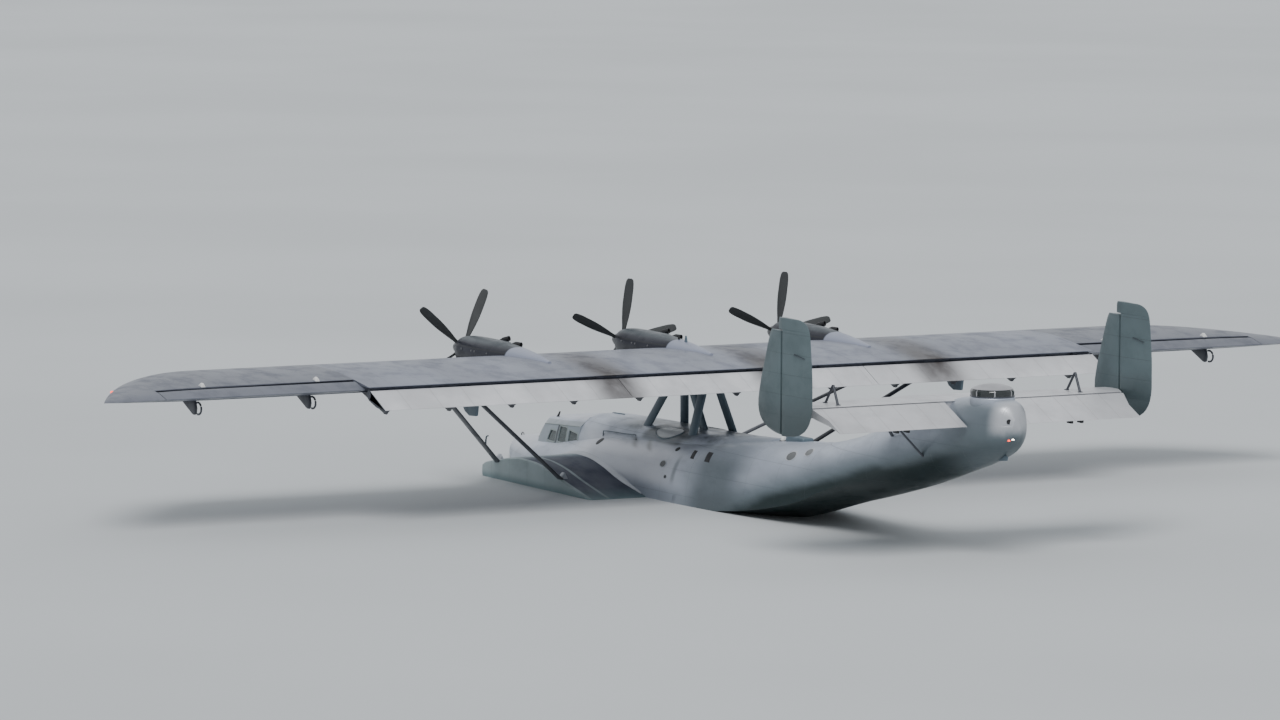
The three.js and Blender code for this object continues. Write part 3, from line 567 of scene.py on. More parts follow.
# Each finish: its slot in the exported model and its material
FINISH = {
    "hull": ("hull_paint", paint("hull_silver", SILVER, (("x", 1.12, 0.3), ("z", 0.52, 0.2)), 0.38, 0.3,
                                 (0.4, 1, 1), 0.3, hull_marks)),
    "wing": ("wing_paint", paint("wing_grey", WING, (("y", 0.75, 0.1), ("x", 1.22, -0.1)), 0.4, 0.2,
                                 (0.4, 0.6, 1), 0.28, wing_marks)),
    # The flaps' pale colour is a painted highlight, for their tilt toward the light
    "flap": ("wing_paint", paint("flap_pale_highlight", (0.63, 0.63, 0.65), (("y", 0.75, 0.1),), 0.42, 0.1,
                                 (0.5, 0.8, 1), 0.22, flap_marks)),
    "tail": ("tail_paint", paint("tail_green", TAIL, (("z", 0.42, 0.05),), 0.45, 0.1,
                                 (0.5, 1, 0.6), 0.3, fin_shade)),
    "tailplane": ("tail_paint", paint("tailplane_pale", (0.59, 0.59, 0.61), (("y", 0.55, 0.2),), 0.4, 0.2,
                                      (0.5, 0.6, 1), 0.25)),
    "strut": ("dark_paint", paint("strut_dark", (0.06, 0.065, 0.08), (), 0.45, 0.1, (1, 1, 0.4), 0.4)),
    "cabane": ("strut_paint", paint("cabane_grey", (0.11, 0.155, 0.19), (), 0.45, 0.1, (1, 1, 0.4), 0.4)),
    "cowl": ("dark_paint", paint("cowl_grey", (0.018, 0.019, 0.030), (("x", 0.62, 0.21),), 0.42, 0.2,
                                 (0.6, 1, 1), 0.35, cowl_marks)),
    "sponson": ("hull_paint", paint("sponson_silver", (0.42, 0.49, 0.50),
                                    (("x", 0.85, 0.2), ("y", 0.62, 0.33)), 0.6, 0.1,
                                    (0.5, 1, 1), 0.3, sponson_marks, 0.15)),
    "fillet": ("hull_paint", paint("fillet_silver", (0.49, 0.51, 0.55), (), 0.38, 0.25, (0.4, 1, 1), 0.25)),
    "canopy": ("hull_paint", paint("canopy_silver", SILVER, (), 0.38, 0.25, (0.5, 1, 1), 0.2, canopy_marks)),
    "pale": ("hull_paint", paint("pale_grey", (0.62, 0.64, 0.65), (), 0.35, 0.05, EVEN, 0.25)),
    "dome": ("hull_paint", paint("dome_grey", (0.34, 0.34, 0.355), (), 0.35, 0.05, EVEN, 0.25)),
    "frame": ("hull_paint", plain("frame_grey", (0.30, 0.34, 0.335), 0.45, 0.2)),
    "white": ("hull_paint", plain("white_lamp", (0.8, 0.8, 0.78), 0.3)),
    "black": ("dark_paint", plain("black_metal", (0.018, 0.018, 0.02))),
    "rubber": ("dark_paint", plain("rubber_dark", (0.02, 0.02, 0.022), 0.75)),
    "dial": ("dark_paint", plain("dial_black", (0.03, 0.032, 0.034), 0.25)),
    "blade": ("dark_paint", plain("blade_grey", (0.045, 0.048, 0.05), 0.5, 0.1)),
    "spinner": ("dark_paint", plain("spinner_grey", (0.06, 0.062, 0.066), 0.35, 0.2)),
    "seat": ("seat_cloth", plain("seat_cloth", (0.05, 0.055, 0.06), 0.9, 0.0, 260.0)),
    "metal": ("engine_metal", plain("engine_metal", (0.2, 0.2, 0.21), 0.4, 0.7, 30.0)),
    "glass": ("dark_paint", glass("window_glass", (0.07, 0.09, 0.09), 0.72)),
    "smoke": ("dark_paint", glass("dome_glass", (0.03, 0.035, 0.035), 0.85)),
    "lamp_white": ("hull_paint", lamp("lamp_white", (1.0, 0.93, 0.8), 6.0)),
    "lamp_red": ("dark_paint", lamp("lamp_red", (1.0, 0.06, 0.02), 3.0)),
    "lamp_green": ("dark_paint", lamp("lamp_green", (0.05, 0.9, 0.35), 2.0)),
}


def dress(piece, finish, body="airframe", node=None):
    """Gives a piece its paint and its body, and hides the CAD node that it stands for."""
    slot, material = FINISH[finish]
    piece.data.materials.clear()
    piece.data.materials.append(material)
    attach(piece, body)
    if node:
        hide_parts(node)
    return piece


# Hull
HULL_STATIONS = [
    # x, half width, keel z, chine z, deck z, deck squareness, bottom roundness
    (8.40, 0.07, 0.18, 0.26, 0.33, 2.0, 1.4), (8.23, 0.29, -0.06, 0.18, 0.43, 2.0, 1.2),
    (7.80, 0.54, -0.33, 0.06, 0.51, 2.2, 1.1), (7.00, 0.81, -0.53, -0.06, 0.60, 2.4, 1.0),
    (6.00, 1.03, -0.61, -0.14, 0.69, 2.6, 1.0), (5.00, 1.19, -0.64, -0.18, 0.78, 2.7, 1.0),
    (3.90, 1.30, -0.65, -0.20, 0.93, 2.8, 1.0), (2.50, 1.37, -0.65, -0.21, 1.15, 2.8, 1.0),
    (0.00, 1.40, -0.63, -0.21, 1.29, 2.8, 1.0), (-1.38, 1.37, -0.60, -0.20, 1.34, 2.8, 1.0),
    (-3.00, 1.28, -0.28, -0.02, 1.47, 2.7, 1.0), (-4.50, 1.15, -0.06, 0.18, 1.60, 2.6, 1.0),
    (-6.00, 1.01, 0.26, 0.48, 1.73, 2.5, 1.0), (-7.33, 0.90, 0.60, 0.95, 1.99, 2.4, 1.4),
    (-8.30, 0.82, 0.82, 1.25, 2.27, 2.3, 1.6), (-9.30, 0.75, 1.06, 1.60, 2.59, 2.2, 1.8),
    (-10.40, 0.66, 1.35, 2.05, 2.94, 2.2, 2.0), (-11.50, 0.59, 1.68, 2.45, 3.24, 2.4, 2.1),
    (-12.30, 0.56, 1.93, 2.62, 3.29, 3.0, 2.2), (-12.85, 0.48, 2.15, 2.68, 3.29, 3.0, 2.2),
    (-13.12, 0.33, 2.35, 2.70, 3.22, 2.4, 2.0), (-13.28, 0.09, 2.56, 2.72, 2.95, 2.0, 2.0),
]
HULL = columns(HULL_STATIONS)
STEP_X, FADE_X = -1.38, -4.5
STEP_KEEL, STEP_CHINE = 0.08, 0.035
LOW_STEPS, TOP_STEPS = 8, 20
SPINE_STATIONS = [
    # x, half width, foot z, top z
    (3.90, 0.86, 0.50, 1.385), (2.50, 0.90, 0.70, 1.415), (0.00, 0.88, 0.80, 1.44), (-1.90, 0.76, 0.90, 1.48),
    (-3.70, 0.42, 1.10, 1.57),
]
SPINE = columns(SPINE_STATIONS)
SPINE_POWER = 0.7
RING = {"x": -12.34, "radius": 0.46, "wall": 0.06, "low": 3.15, "top": 3.33, "well": 0.42}


def hull_at(x):
    half, keel, chine, deck, square, bottom = values(HULL, x)
    if FADE_X < x < STEP_X:
        left = (x - FADE_X) / (STEP_X - FADE_X)
        keel += STEP_KEEL * left
        chine += STEP_CHINE * left
    return half, keel, chine, deck, square, bottom


def hull_ring(x, grow=0.0):
    half, keel, chine, deck, square, bottom = hull_at(x)
    half, keel, deck = half + grow, keel - grow, deck + grow
    side = []
    for t, reach, roundness in ([(1 - k / LOW_STEPS, keel - chine, bottom) for k in range(LOW_STEPS + 1)]
                                + [(k / TOP_STEPS, deck - chine, square) for k in range(1, TOP_STEPS + 1)]):
        t *= math.pi / 2
        bend = 2 / roundness
        side.append((half * abs(math.cos(t)) ** bend, chine + reach * math.sin(t) ** bend))
    side[0] = (0.0, side[0][1])
    side[-1] = (0.0, side[-1][1])
    return [(x, y, z) for y, z in side + [(-y, z) for y, z in reversed(side[1:-1])]]


def hull_side(x, z):
    """Half breadth of the hull's skin at a height above the chine."""
    half, keel, chine, deck, square, bottom = hull_at(x)
    share = min(max((z - chine) / (deck - chine), 0.0), 1.0)
    return half * (1 - share ** square) ** (1 / square)


def deck_top(x, y):
    half, keel, chine, deck, square, bottom = hull_at(x)
    height = chine + (deck - chine) * (1 - min(abs(y) / half, 1.0) ** square) ** (1 / square)
    half, foot, top = values(SPINE, x)
    if SPINE_STATIONS[-1][0] <= x <= SPINE_STATIONS[0][0] and abs(y) < half:
        share = (abs(y) / half) ** (1 / SPINE_POWER)
        height = max(height, foot + (top - foot) * (1 - share ** 2) ** (SPINE_POWER / 2))
    return height


def spine_ring(x, steps=24):
    half, foot, top = values(SPINE, x)
    return [(x, half * power(math.cos(t), SPINE_POWER), foot + (top - foot) * abs(math.sin(t)) ** SPINE_POWER)
            for t in spread(0.0, math.pi, steps + 1)]


def make_hull():
    xs = spread(8.4, 7.8, 9) + spread(7.7, STEP_X, 46)
    xs += spread(STEP_X - 0.002, -12.3, 56) + spread(-12.4, -13.28, 16)
    hull = loft("hull_skin", [hull_ring(x) for x in xs], 28)
    spine = loft("spine", [spine_ring(x) for x in spread(3.9, -3.7, 30)], 35)
    middle, radius, low, top = (RING["x"], 0, 0), RING["radius"], RING["low"] - 0.2, RING["top"]
    collar = lathe("collar", [(0.0, low), (radius, low), (radius, top - 0.03), (radius - 0.015, top - 0.005),
                              (radius - 0.03, top), (0.0, top)], middle)
    boolean(hull, [spine, collar], 28, "UNION")
    well = block("well", 4.05, 6.15, -0.58, 0.58, 0.06, 1.8)
    pit = disc("pit", radius - RING["wall"], top - RING["well"], top + 0.2, middle)
    dress(boolean(hull, [well, pit], 28), "hull", node="hull")


make_hull()

# Wing: lines of its section at the root, which shrink toward the raked tip
HALF_SPAN, TIP_START, TIP_CURVE = 15.0, 11.7, 1.8
LEAD, TRAIL, TRAIL_Z = 1.87, -1.83, 2.854
TOP_LINE = [(1.87, 2.89), (1.80, 2.97), (1.60, 3.04), (1.20, 3.105), (0.60, 3.145), (-0.10, 3.14),
            (-0.70, 3.095), (-1.20, 3.03), (-1.83, 2.945), (-1.97, 2.925)]
LOW_LINE = [(1.87, 2.89), (1.82, 2.83), (1.65, 2.765), (1.30, 2.69), (0.70, 2.64), (0.00, 2.64),
            (-0.70, 2.675), (-1.20, 2.735), (-1.83, 2.846)]
WING_TOP, WING_LOW = columns(TOP_LINE)[0], columns(LOW_LINE)[0]
WING_TOP_OUT = columns(TOP_LINE[:8] + [(-1.83, 2.862)])[0]
SHROUD_X, COVE_X = -1.97, -1.06
AILERON_X, AILERON_Y0, AILERON_Y1 = -1.29, 9.015, 13.6
AILERON_HINGES = (9.95, 12.6)
HINGE_X, HINGE_Z = -1.80, 2.36
FLAP_JOINT = 3.05
CENTRE_ARMS = (-2.4, 0.0, 2.4)
LEFT_ARMS = (4.0, 5.5, 7.0, 8.5)
RIGHT_ARMS = tuple(-y for y in LEFT_ARMS)


def lead_at(y):
    way = min(max(y - TIP_START, 0.0) / (HALF_SPAN - TIP_START), 1.0)
    return LEAD - (LEAD - TRAIL - 0.06) * way ** TIP_CURVE


def tip_size(y):
    return (lead_at(y) - TRAIL) / (LEAD - TRAIL)


def outer(line, x, y):
    size = tip_size(y)
    return TRAIL_Z + (line(TRAIL + (x - TRAIL) / size) - TRAIL_Z) * size


def outer_top(x, y):
    return outer(WING_TOP_OUT, x, y)


def outer_low(x, y):
    return outer(WING_LOW, x, y)


def nose_points(top_line, end, count):
    """The top and the underside from the leading edge aft to an end, close together at the rounded edge."""
    xs = [end + (LEAD - end) * math.sin(t) for t in spread(math.pi / 2, 0.0, count)]
    return [(x, top_line(x)) for x in xs], [(x, WING_LOW(x)) for x in xs]


def make_wing():
    top, low = nose_points(WING_TOP, -1.20, 22)
    lip = WING_TOP(SHROUD_X)
    back = [(TRAIL, WING_TOP(TRAIL)), (SHROUD_X, lip), (SHROUD_X, lip - 0.012), (-1.6, WING_TOP(-1.6) - 0.05),
            (-1.2, 2.955), (COVE_X - 0.02, 2.94), (COVE_X, 2.90), (COVE_X, 2.722)]
    ys = [-8.9996, -4.5, -3.5, -0.5, 0.5, 3.5, 4.5, 8.9996]
    rings = [[(x, y, z) for x, z in top + back + low[:0:-1]] for y in ys]
    dress(loft("wing_skin_centre", rings, 26), "wing", node="wing_centre")
    shape = [(-0.56, 2.70), (-1.10, 2.735), (-1.19, 2.70), (-1.85, 2.40), (-1.86, 2.34),
             (-1.81, 2.31), (-1.74, 2.31)]
    arms = []
    for y in CENTRE_ARMS + LEFT_ARMS + RIGHT_ARMS:
        arms.append(bevelled(prism("bracket", shape, y - 0.014, y + 0.014), 0.004))
        arms.append(disc("pin", 0.034, y - 0.03, y + 0.022, (HINGE_X, 0, HINGE_Z), "y", 20))
    dress(joined("flap_brackets", arms), "strut")


def make_outer_wing(side, label):
    top, low = nose_points(WING_TOP_OUT, TRAIL, 26)
    rings = []
    for y in spread(9.0, TIP_START, 5) + [TIP_START + (HALF_SPAN - TIP_START) * (1 - (1 - k / 22) ** 1.6)
                                          for k in range(1, 23)]:
        size = tip_size(y)
        rings.append([(TRAIL + (x - TRAIL) * size, side * y, TRAIL_Z + (z - TRAIL_Z) * size)
                      for x, z in top + low[-2::-1]])
    wing = loft(f"wing_skin_{label}", rings, 26)
    room = []
    for y in (AILERON_Y0 - 0.1, AILERON_Y1 + 0.012):
        roof, floor = outer_top(-1.2, y) - 0.014, outer_low(-1.2, y) + 0.014
        shape = [(-3.0, 2.2), (-3.0, 3.3), (-1.235, 3.3), (-1.235, roof), (-1.16, roof), (-1.125, 2.885),
                 (-1.14, floor), (-1.235, floor), (-1.235, 2.2)]
        room.append([(x, side * y, z) for x, z in shape])
    dress(boolean(wing, [loft("cove", room)], 26), "wing", node=f"wing_{label}")
    shape = [(-0.38, 2.70), (-0.75, 2.70), (-1.08, 2.72), (-1.13, 2.56), (-1.10, 2.45),
             (-1.05, 2.422), (-0.97, 2.44)]
    brackets, covers = [], []
    for hinge in AILERON_HINGES:
        y = side * hinge
        arc = [math.radians(d) for d in range(-80, -291, -15)]
        ring = [(-1.215 + 0.155 * math.cos(a), y, 2.575 + 0.125 * math.sin(a)) for a in arc]
        brackets.append(bevelled(prism("bracket", shape, y - 0.03, y + 0.03), 0.012, 3))
        brackets.append(tube("ring", ring, 0.022, 10))
        rings = []
        for x, h in ((-1.05, 0.004), (-1.08, 0.03), (-1.12, 0.062), (-1.17, 0.07),
                     (-1.215, 0.045), (-1.234, 0.004)):
            foot = outer_top(x, hinge) - 0.016
            rings.append([(x, y - 0.12 * side + 0.05 * math.cos(t), foot + (h + 0.02) * max(0.0, math.sin(t)))
                          for t in spread(0.0, math.pi, 11)])
        covers.append(loft("cover", rings, 40))
    dress(joined(f"aileron_brackets_{label}", brackets), "strut")
    dress(joined(f"aileron_hinge_covers_{label}", covers), "white")


def aileron_ring(y, side):
    steps = ((-1.70, 0.0), (-1.55, 0.001), (-1.44, 0.002), (-1.36, 0.006))
    over = [(x, outer_top(x, y) - gap) for x, gap in steps]
    under = [(x, outer_low(x, y) + gap) for x, gap in reversed(steps)]
    top, low = over[-1][1], under[0][1]
    reach = min(0.092, (top - low) / 2) * 0.92
    nose = [(AILERON_X + 0.10 * math.cos(t) - 0.01, (top + low) / 2 + reach * math.sin(t))
            for t in spread(math.pi / 2, -math.pi / 2, 13)[1:-1]]
    return [(x, side * y, z) for x, z in [(-1.82, 2.861)] + over + nose + under + [(-1.82, 2.849)]]


def make_flaps():
    x, z, radius, tip_x, tip_z = -1.955, 2.765, 0.088, -2.68, 2.50
    lean = math.atan2(tip_z - z, tip_x - x) - math.pi / 2
    outline = []
    for share in spread(1.0, 0.0, 17):
        angle = lean - 0.06 - (math.pi - 0.12) * share - math.pi
        outline.append((x + radius * math.cos(angle), z + radius * math.sin(angle)))
    outline += [(tip_x, tip_z - 0.004), (tip_x, tip_z + 0.004)]
    arm = [(HINGE_X + a, HINGE_Z + b) for a, b in
           ((-0.19, 0.33), (-0.56, 0.20), (-0.42, 0.15), (-0.04, -0.04), (0.04, -0.04), (0.04, 0.03))]
    for label, y0, y1, arms in (("left", FLAP_JOINT + 0.008, FLAP_END - 0.012, LEFT_ARMS),
                                ("centre", -FLAP_JOINT + 0.008, FLAP_JOINT - 0.008, CENTRE_ARMS),
                                ("right", -FLAP_END + 0.012, -FLAP_JOINT - 0.008, RIGHT_ARMS)):
        dress(prism(f"flap_skin_{label}", outline, y0, y1), "flap", "flaps", f"flap_{label}")
        plates = [bevelled(prism("arm", arm, y + 0.022, y + 0.050), 0.004) for y in arms]
        dress(joined(f"flap_arms_{label}", plates), "strut", "flaps")
    end = [(-1.872, 2.80), (-1.90, 2.862), (-1.95, 2.868), (-2.695, 2.515), (-2.70, 2.485), (-2.30, 2.53),
           (-1.96, 2.64), (-1.87, 2.70)]
    for side, label in SIDES:
        plate = prism(f"flap_end_plate_{label}", end, side * (FLAP_END - 0.024), side * (FLAP_END - 0.012))
        dress(plate, "strut", "flaps")


make_wing()
for side, label in SIDES:
    make_outer_wing(side, label)
for side, label in SIDES:
    ys = spread(AILERON_Y0, 11.7, 4) + spread(12.1, AILERON_Y1 - 0.002, 6)
    skin = loft(f"aileron_skin_{label}", [aileron_ring(y, side) for y in ys])
    dress(skin, "wing", f"aileron_{label}", f"aileron_{label}")
make_flaps()

# Nacelles, engines and propellers
NACELLE = columns([
    # x, half width, bottom z, top z
    (3.29, 0.265, 2.80, 3.30), (3.18, 0.33, 2.73, 3.345), (2.85, 0.395, 2.64, 3.375),
    (2.30, 0.425, 2.54, 3.38), (1.70, 0.42, 2.52, 3.37), (1.10, 0.37, 2.68, 3.33),
    (0.50, 0.29, 2.76, 3.28), (-0.10, 0.19, 2.83, 3.215), (-0.65, 0.06, 2.95, 3.135),
])
NACELLE_POWER = 0.85
HUB_X, HUB_Z = 3.42, 3.06
BLADE = columns([
    # radius, chord, thickness, pitch in degrees
    (0.15, 0.085, 0.070, 60), (0.22, 0.09, 0.062, 58), (0.30, 0.11, 0.050, 55), (0.55, 0.17, 0.032, 44),
    (0.85, 0.205, 0.022, 35), (1.15, 0.20, 0.014, 29), (1.33, 0.165, 0.009, 26), (1.37, 0.13, 0.007, 25),
    (1.39, 0.08, 0.006, 25),
])
PROP_TURN = {"left": -23.4, "middle": -7.9, "right": -7.1}


def circle(cx, cz, radius, sides=20, squash=1.0):
    return [(cx + radius * math.cos(a), cz + radius * squash * math.sin(a)) for a in around(sides)]


def nacelle_at(x):
    half, bottom, top = values(NACELLE, x)
    return half, (bottom + top) / 2, (top - bottom) / 2


def nacelle_ring(x, y, shrink=0.0):
    half, middle, tall = nacelle_at(x)
    return [(x, y + (half - shrink) * power(math.cos(t), NACELLE_POWER),
             middle + (tall - shrink) * power(math.sin(t), NACELLE_POWER)) for t in around(48)]


def make_exhausts(label, y):
    stubs = []
    for x, lift, out in ((2.22, 0.03, 0.47), (1.62, -0.06, 0.45)):
        base = Vector((x + 0.10, y - 0.30, 3.21))
        mouth = Vector((x - 0.10, y - out, 3.335 + lift))
        middle = (base + mouth) / 2 + Vector((0.02, -0.01, 0.035))
        path = [base, (base + middle) / 2 + Vector((0, 0, 0.012)), middle, mouth]
        stub = tube("stub", path, [0.06, 0.062, 0.062, 0.058], 20)
        bore = tube("bore", [mouth + (middle - mouth) * 0.4, mouth + (mouth - middle) * 0.1], 0.048, 20)
        stubs.append(boolean(stub, [bore], 40))
    dress(joined(f"exhausts_{label}", stubs), "black")
    fairing = []
    for x, h, w in ((2.60, 0.0, 0.02), (2.45, 0.035, 0.06), (2.2, 0.045, 0.075), (1.95, 0.04, 0.07),
                    (1.74, 0.01, 0.03)):
        half, middle, tall = nacelle_at(x)
        cy, cz = y - half * 0.80, middle + tall * 0.72
        fairing.append([(x, cy - (w + h) * math.cos(t) * 0.9, cz + (h + 0.02) * math.sin(t))
                        for t in around(16)])
    dress(loft(f"exhaust_fairing_{label}", fairing, 40), "cowl")


def make_nacelle(label, y):
    xs = spread(3.29, 3.18, 4) + spread(3.12, -0.65, 44)
    shell = loft(f"nacelle_skin_{label}", [nacelle_ring(x, y) for x in xs])
    bay = loft("bay", [nacelle_ring(x, y, 0.02 if x > 3.1 else 0.04)
                       for x in [3.40] + spread(3.10, 1.99, 10)])
    dress(boolean(shell, [bay]), "cowl", node=f"nacelle_{label}")
    lip = ((3.29, 0.0), (3.27, -0.004), (3.24, 0.0), (3.24, 0.045), (3.285, 0.045))
    rings = [nacelle_ring(x, y, shrink) for x, shrink in lip]
    dress(loft(f"intake_ring_{label}", rings, 40, closed=True), "black")
    core = [(0.0, 1.9915), (0.15, 1.9915), (0.21, 2.05), (0.237, 2.10), (0.237, 2.30), (0.20, 2.34),
            (0.20, 2.50), (0.225, 2.55), (0.225, 2.72), (0.17, 2.78), (0.13, 2.895), (0.0, 2.895)]
    dress(lathe(f"engine_core_{label}", core, (0, y, 3.02), "x", 40), "metal", node=f"engine_{label}")
    dress(prism(f"intake_screen_{label}", circle(y, HUB_Z, 0.235, 40), 3.02, 3.05, "x"), "black")
    make_exhausts(label, y)
    latches = []
    for x0, x1, side in ((2.25, 2.75, 1), (1.55, 2.10, 1), (2.25, 2.75, -1)):
        for x, z in ((x0, 2.85), (x0, 3.12), (x1, 2.85), (x1, 3.12)):
            half, middle, tall = nacelle_at(x)
            share = min(abs(z - middle) / tall, 1.0) ** (2 / NACELLE_POWER)
            out = y + side * half * (1 - share) ** (NACELLE_POWER / 2)
            knob = [(0.0, -0.006), (0.022, -0.006), (0.022, 0.008), (0.014, 0.012), (0.0, 0.012)]
            latches.append(lathe("latch", knob, (x, out, z), "y", 14))
    dress(joined(f"cowl_latches_{label}", latches), "metal")


def make_propeller(label, y):
    body = f"propeller_{label}"
    blades, cuffs = [], []
    for turn in [t + math.radians(PROP_TURN[label]) for t in around(5)]:
        rings = []
        for radius in spread(0.15, 0.55, 8) + spread(0.62, 1.33, 11) + [1.36, 1.38, 1.39]:
            chord, thick, pitch = values(BLADE, radius)
            pitch = math.radians(pitch)
            ring = []
            for t in around(16):
                u = chord / 2 * math.cos(t)
                v = thick / 2 * math.sin(t) * (1.0 + 0.25 * math.cos(t))
                flat = u * math.cos(pitch) - v * math.sin(pitch)
                ring.append((HUB_X + u * math.sin(pitch) + v * math.cos(pitch),
                             y + flat * math.cos(turn) + radius * math.sin(turn),
                             HUB_Z + radius * math.cos(turn) - flat * math.sin(turn)))
            rings.append(ring)
        blades.append(loft("blade", rings, 40))
        reach = Vector((0, math.sin(turn), math.cos(turn)))
        path = [Vector((HUB_X, y, HUB_Z)) + reach * r for r in (0.13, 0.165, 0.19, 0.20)]
        cuffs.append(tube("cuff", path, [0.055, 0.055, 0.052, 0.045], 20))
    dress(joined(f"blades_{label}", blades, 40), "blade", body, body)
    outline = [(0.0, 0.43), (0.02, 0.425), (0.045, 0.40), (0.095, 0.32), (0.14, 0.21), (0.162, 0.12),
               (0.172, 0.02), (0.172, -0.085), (0.165, -0.095), (0.075, -0.095),
               (0.07, -0.11), (0.07, -0.519), (0.0, -0.519)]
    dress(lathe(f"spinner_{label}", outline, (HUB_X, y, HUB_Z), "x", 56), "spinner", body)
    dress(joined(f"blade_cuffs_{label}", cuffs, 40), "metal", body)


for label, y in ENGINE_Y.items():
    make_nacelle(label, y)
for label, y in ENGINE_Y.items():
    make_propeller(label, y)

# Sponsons
SPONSON_TOP_LINE = columns([
    (5.00, 0.25), (4.85, 0.32), (4.33, 0.42), (3.70, 0.53), (3.03, 0.585), (2.50, 0.57), (1.90, 0.49),
    (0.96, 0.27), (-0.20, 0.02),
])[0]
SPONSON_LOW_LINE = columns([(-0.20, -0.06), (1.00, -0.11), (4.20, -0.15), (4.85, -0.13)])[0]


def make_sponson(side, label):
    middle = 2.4
    xs = [-0.20 + 2.60 * (1 - math.cos(t)) for t in spread(0.0, math.pi, 31)]
    outline = [(x, SPONSON_TOP_LINE(x)) for x in xs] + [(5.01, 0.16), (5.01, 0.06), (4.95, -0.06)]
    outline += [(x, SPONSON_LOW_LINE(x)) for x in spread(4.85, -0.20, 16)]
    rings = []
    for y, swell, deep in ((0.9, 1.02, 2.0), (1.4, 1.013, 1.74), (1.9, 1.006, 1.48), (2.45, 1.0, 1.2),
                           (2.66, 0.994, 1.05), (2.71, 0.985, 0.99), (2.735, 0.972, 0.95), (2.75, 0.95, 0.9)):
        rings.append([(middle + (x - middle) * swell, side * y, z * (swell if z > 0 else deep))
                      for x, z in outline])
    dress(loft(f"sponson_skin_{label}", rings), "sponson", node=f"sponson_{label}")
    swell = 1.02 - 0.02 * (1.3 - 0.9) / 1.55
    fillet = []
    for x in spread(4.85, -0.05, 44):
        z = SPONSON_TOP_LINE(middle + (x - middle) / swell) * swell
        size = min(1.0, (4.9 - x) / 1.1, (x + 0.1) / 0.9)
        near, far = hull_side(x, z + 0.08), hull_side(x, z - 0.02) + 0.02 + 0.06 * size
        ring = [(x, near + (far - near) * a, z + 0.004 + (0.02 + 0.05 * size) * (1 - a) ** 2)
                for a in spread(0.0, 1.0, 8)]
        fillet.append(across(ring + [(x, far - 0.02, z - 0.06), (x, near - 0.06, z - 0.06)], side))
    dress(loft(f"root_fillet_{label}", fillet, 45), "fillet")


for side, label in SIDES:
    make_sponson(side, label)


# Struts
def oval_bar(name, start, end, chord, thick, cuff=0.0, sides=28):
    """A bar of oval section that swells by a share at both ends."""
    rings = []
    for share in (0.0, 0.02, 0.04, 0.07, 0.12, 0.5, 0.88, 0.93, 0.96, 0.98, 1.0):
        swell = 1 + cuff * max(0.0, 1 - min(share, 1 - share) / 0.12) ** 2
        x, y, z = Vector(start).lerp(Vector(end), share)
        rings.append([(x + chord / 2 * swell * math.cos(t), y + thick / 2 * swell * math.sin(t), z)
                      for t in around(sides)])
    return loft(name, rings, 35)


STRUT_PAIRS = [
    # name, foot and top on the port side, chord, thickness, swell of the ends, finish
    ("cabane_front", (1.48, 0.52, 1.2), (0.69, 0.075, 2.68), 0.33, 0.12, 0.12, "cabane"),
    ("cabane_rear", (-0.76, 0.57, 1.2), (-0.60, 0.075, 2.70), 0.33, 0.12, 0.12, "cabane"),
    ("sponson_strut_front", (4.33, 2.60, 0.30), (1.00, 6.05, 2.70), 0.23, 0.11, 0.2, "strut"),
    ("sponson_strut_rear", (1.32, 2.60, 0.24), (-0.50, 6.05, 2.70), 0.23, 0.11, 0.2, "strut"),
    ("tail_strut_front", (-9.30, 0.50, 2.15), (-10.25, 1.50, 2.98), 0.12, 0.06, 0.3, "strut"),
    ("tail_strut_rear", (-10.60, 0.50, 1.85), (-10.90, 1.75, 2.98), 0.09, 0.05, 0.3, "strut"),
]
for pair, foot, top, chord, thick, cuff, finish in STRUT_PAIRS:
    for side, label in SIDES:
        bar = oval_bar(f"{pair}_{label}_skin", *across([foot, top], side), chord, thick, cuff)
        dress(bar, finish, node=f"{pair}_{label}")
bar = oval_bar("cabane_diagonal_skin", (-0.50, 0.0, 1.2), (0.48, 0.0, 2.68), 0.33, 0.12, 0.12)
dress(bar, "cabane", node="cabane_diagonal")

# Tail
FIN_SIDE = 4.05
TAIL_LEAD, ELEVATOR_X, TAIL_Z, TAIL_HALF, TAIL_TIP = -9.85, -11.44, 3.05, 0.1, 3.9716
ELEVATOR_ROUND, ELEVATOR_CHORD, ELEVATOR_DROOP = 0.084, 0.96, math.radians(-20)
RUDDER_X, RUDDER_ROUND, RUDDER_SPLIT = -10.95, 0.078, 4.731
TAIL_LINE = columns([(0, 0), (-0.03, 0.042), (-0.06, 0.06), (-0.22, 0.092), (-0.50, TAIL_HALF),
                     (-1.6, TAIL_HALF)])[0]
FIN_FRONT = columns([
    # z, x of the leading edge
    (2.57, -10.86), (2.60, -10.56), (2.68, -10.23), (2.80, -10.00), (2.98, -9.86), (3.15, -9.83),
    (3.50, -9.90), (4.15, -10.13), (4.65, -10.33), (4.70, -10.37),
])[0]
RUDDER_BACK = columns([
    # z, x of the trailing edge from the hinge
    (2.555, -0.02), (2.58, -0.33), (2.66, -0.64), (2.80, -0.87), (3.00, -1.01), (3.25, -1.068),
    (3.70, -1.065), (4.30, -1.01), (4.70, -0.95), (4.83, -0.88), (4.92, -0.74), (4.955, -0.60),
    (4.968, -0.48),
])[0]


def tailplane_section(y):
    lead = TAIL_LEAD - max(0.0, abs(y) - 0.6) * 0.09
    end = ELEVATOR_X + 0.055
    xs = [lead - (lead - end) * (1 - math.cos(t)) for t in spread(0.0, math.pi / 2, 17)]
    top = [(x, TAIL_LINE(x - lead)) for x in xs]
    cove = [(end + 0.045 * abs(math.cos(t)), TAIL_HALF * math.sin(t))
            for t in spread(math.pi / 2, -math.pi / 2, 9)[1:-1]]
    return [(x, y, TAIL_Z + z) for x, z in top + cove + [(x, -z) for x, z in top[:0:-1]]]


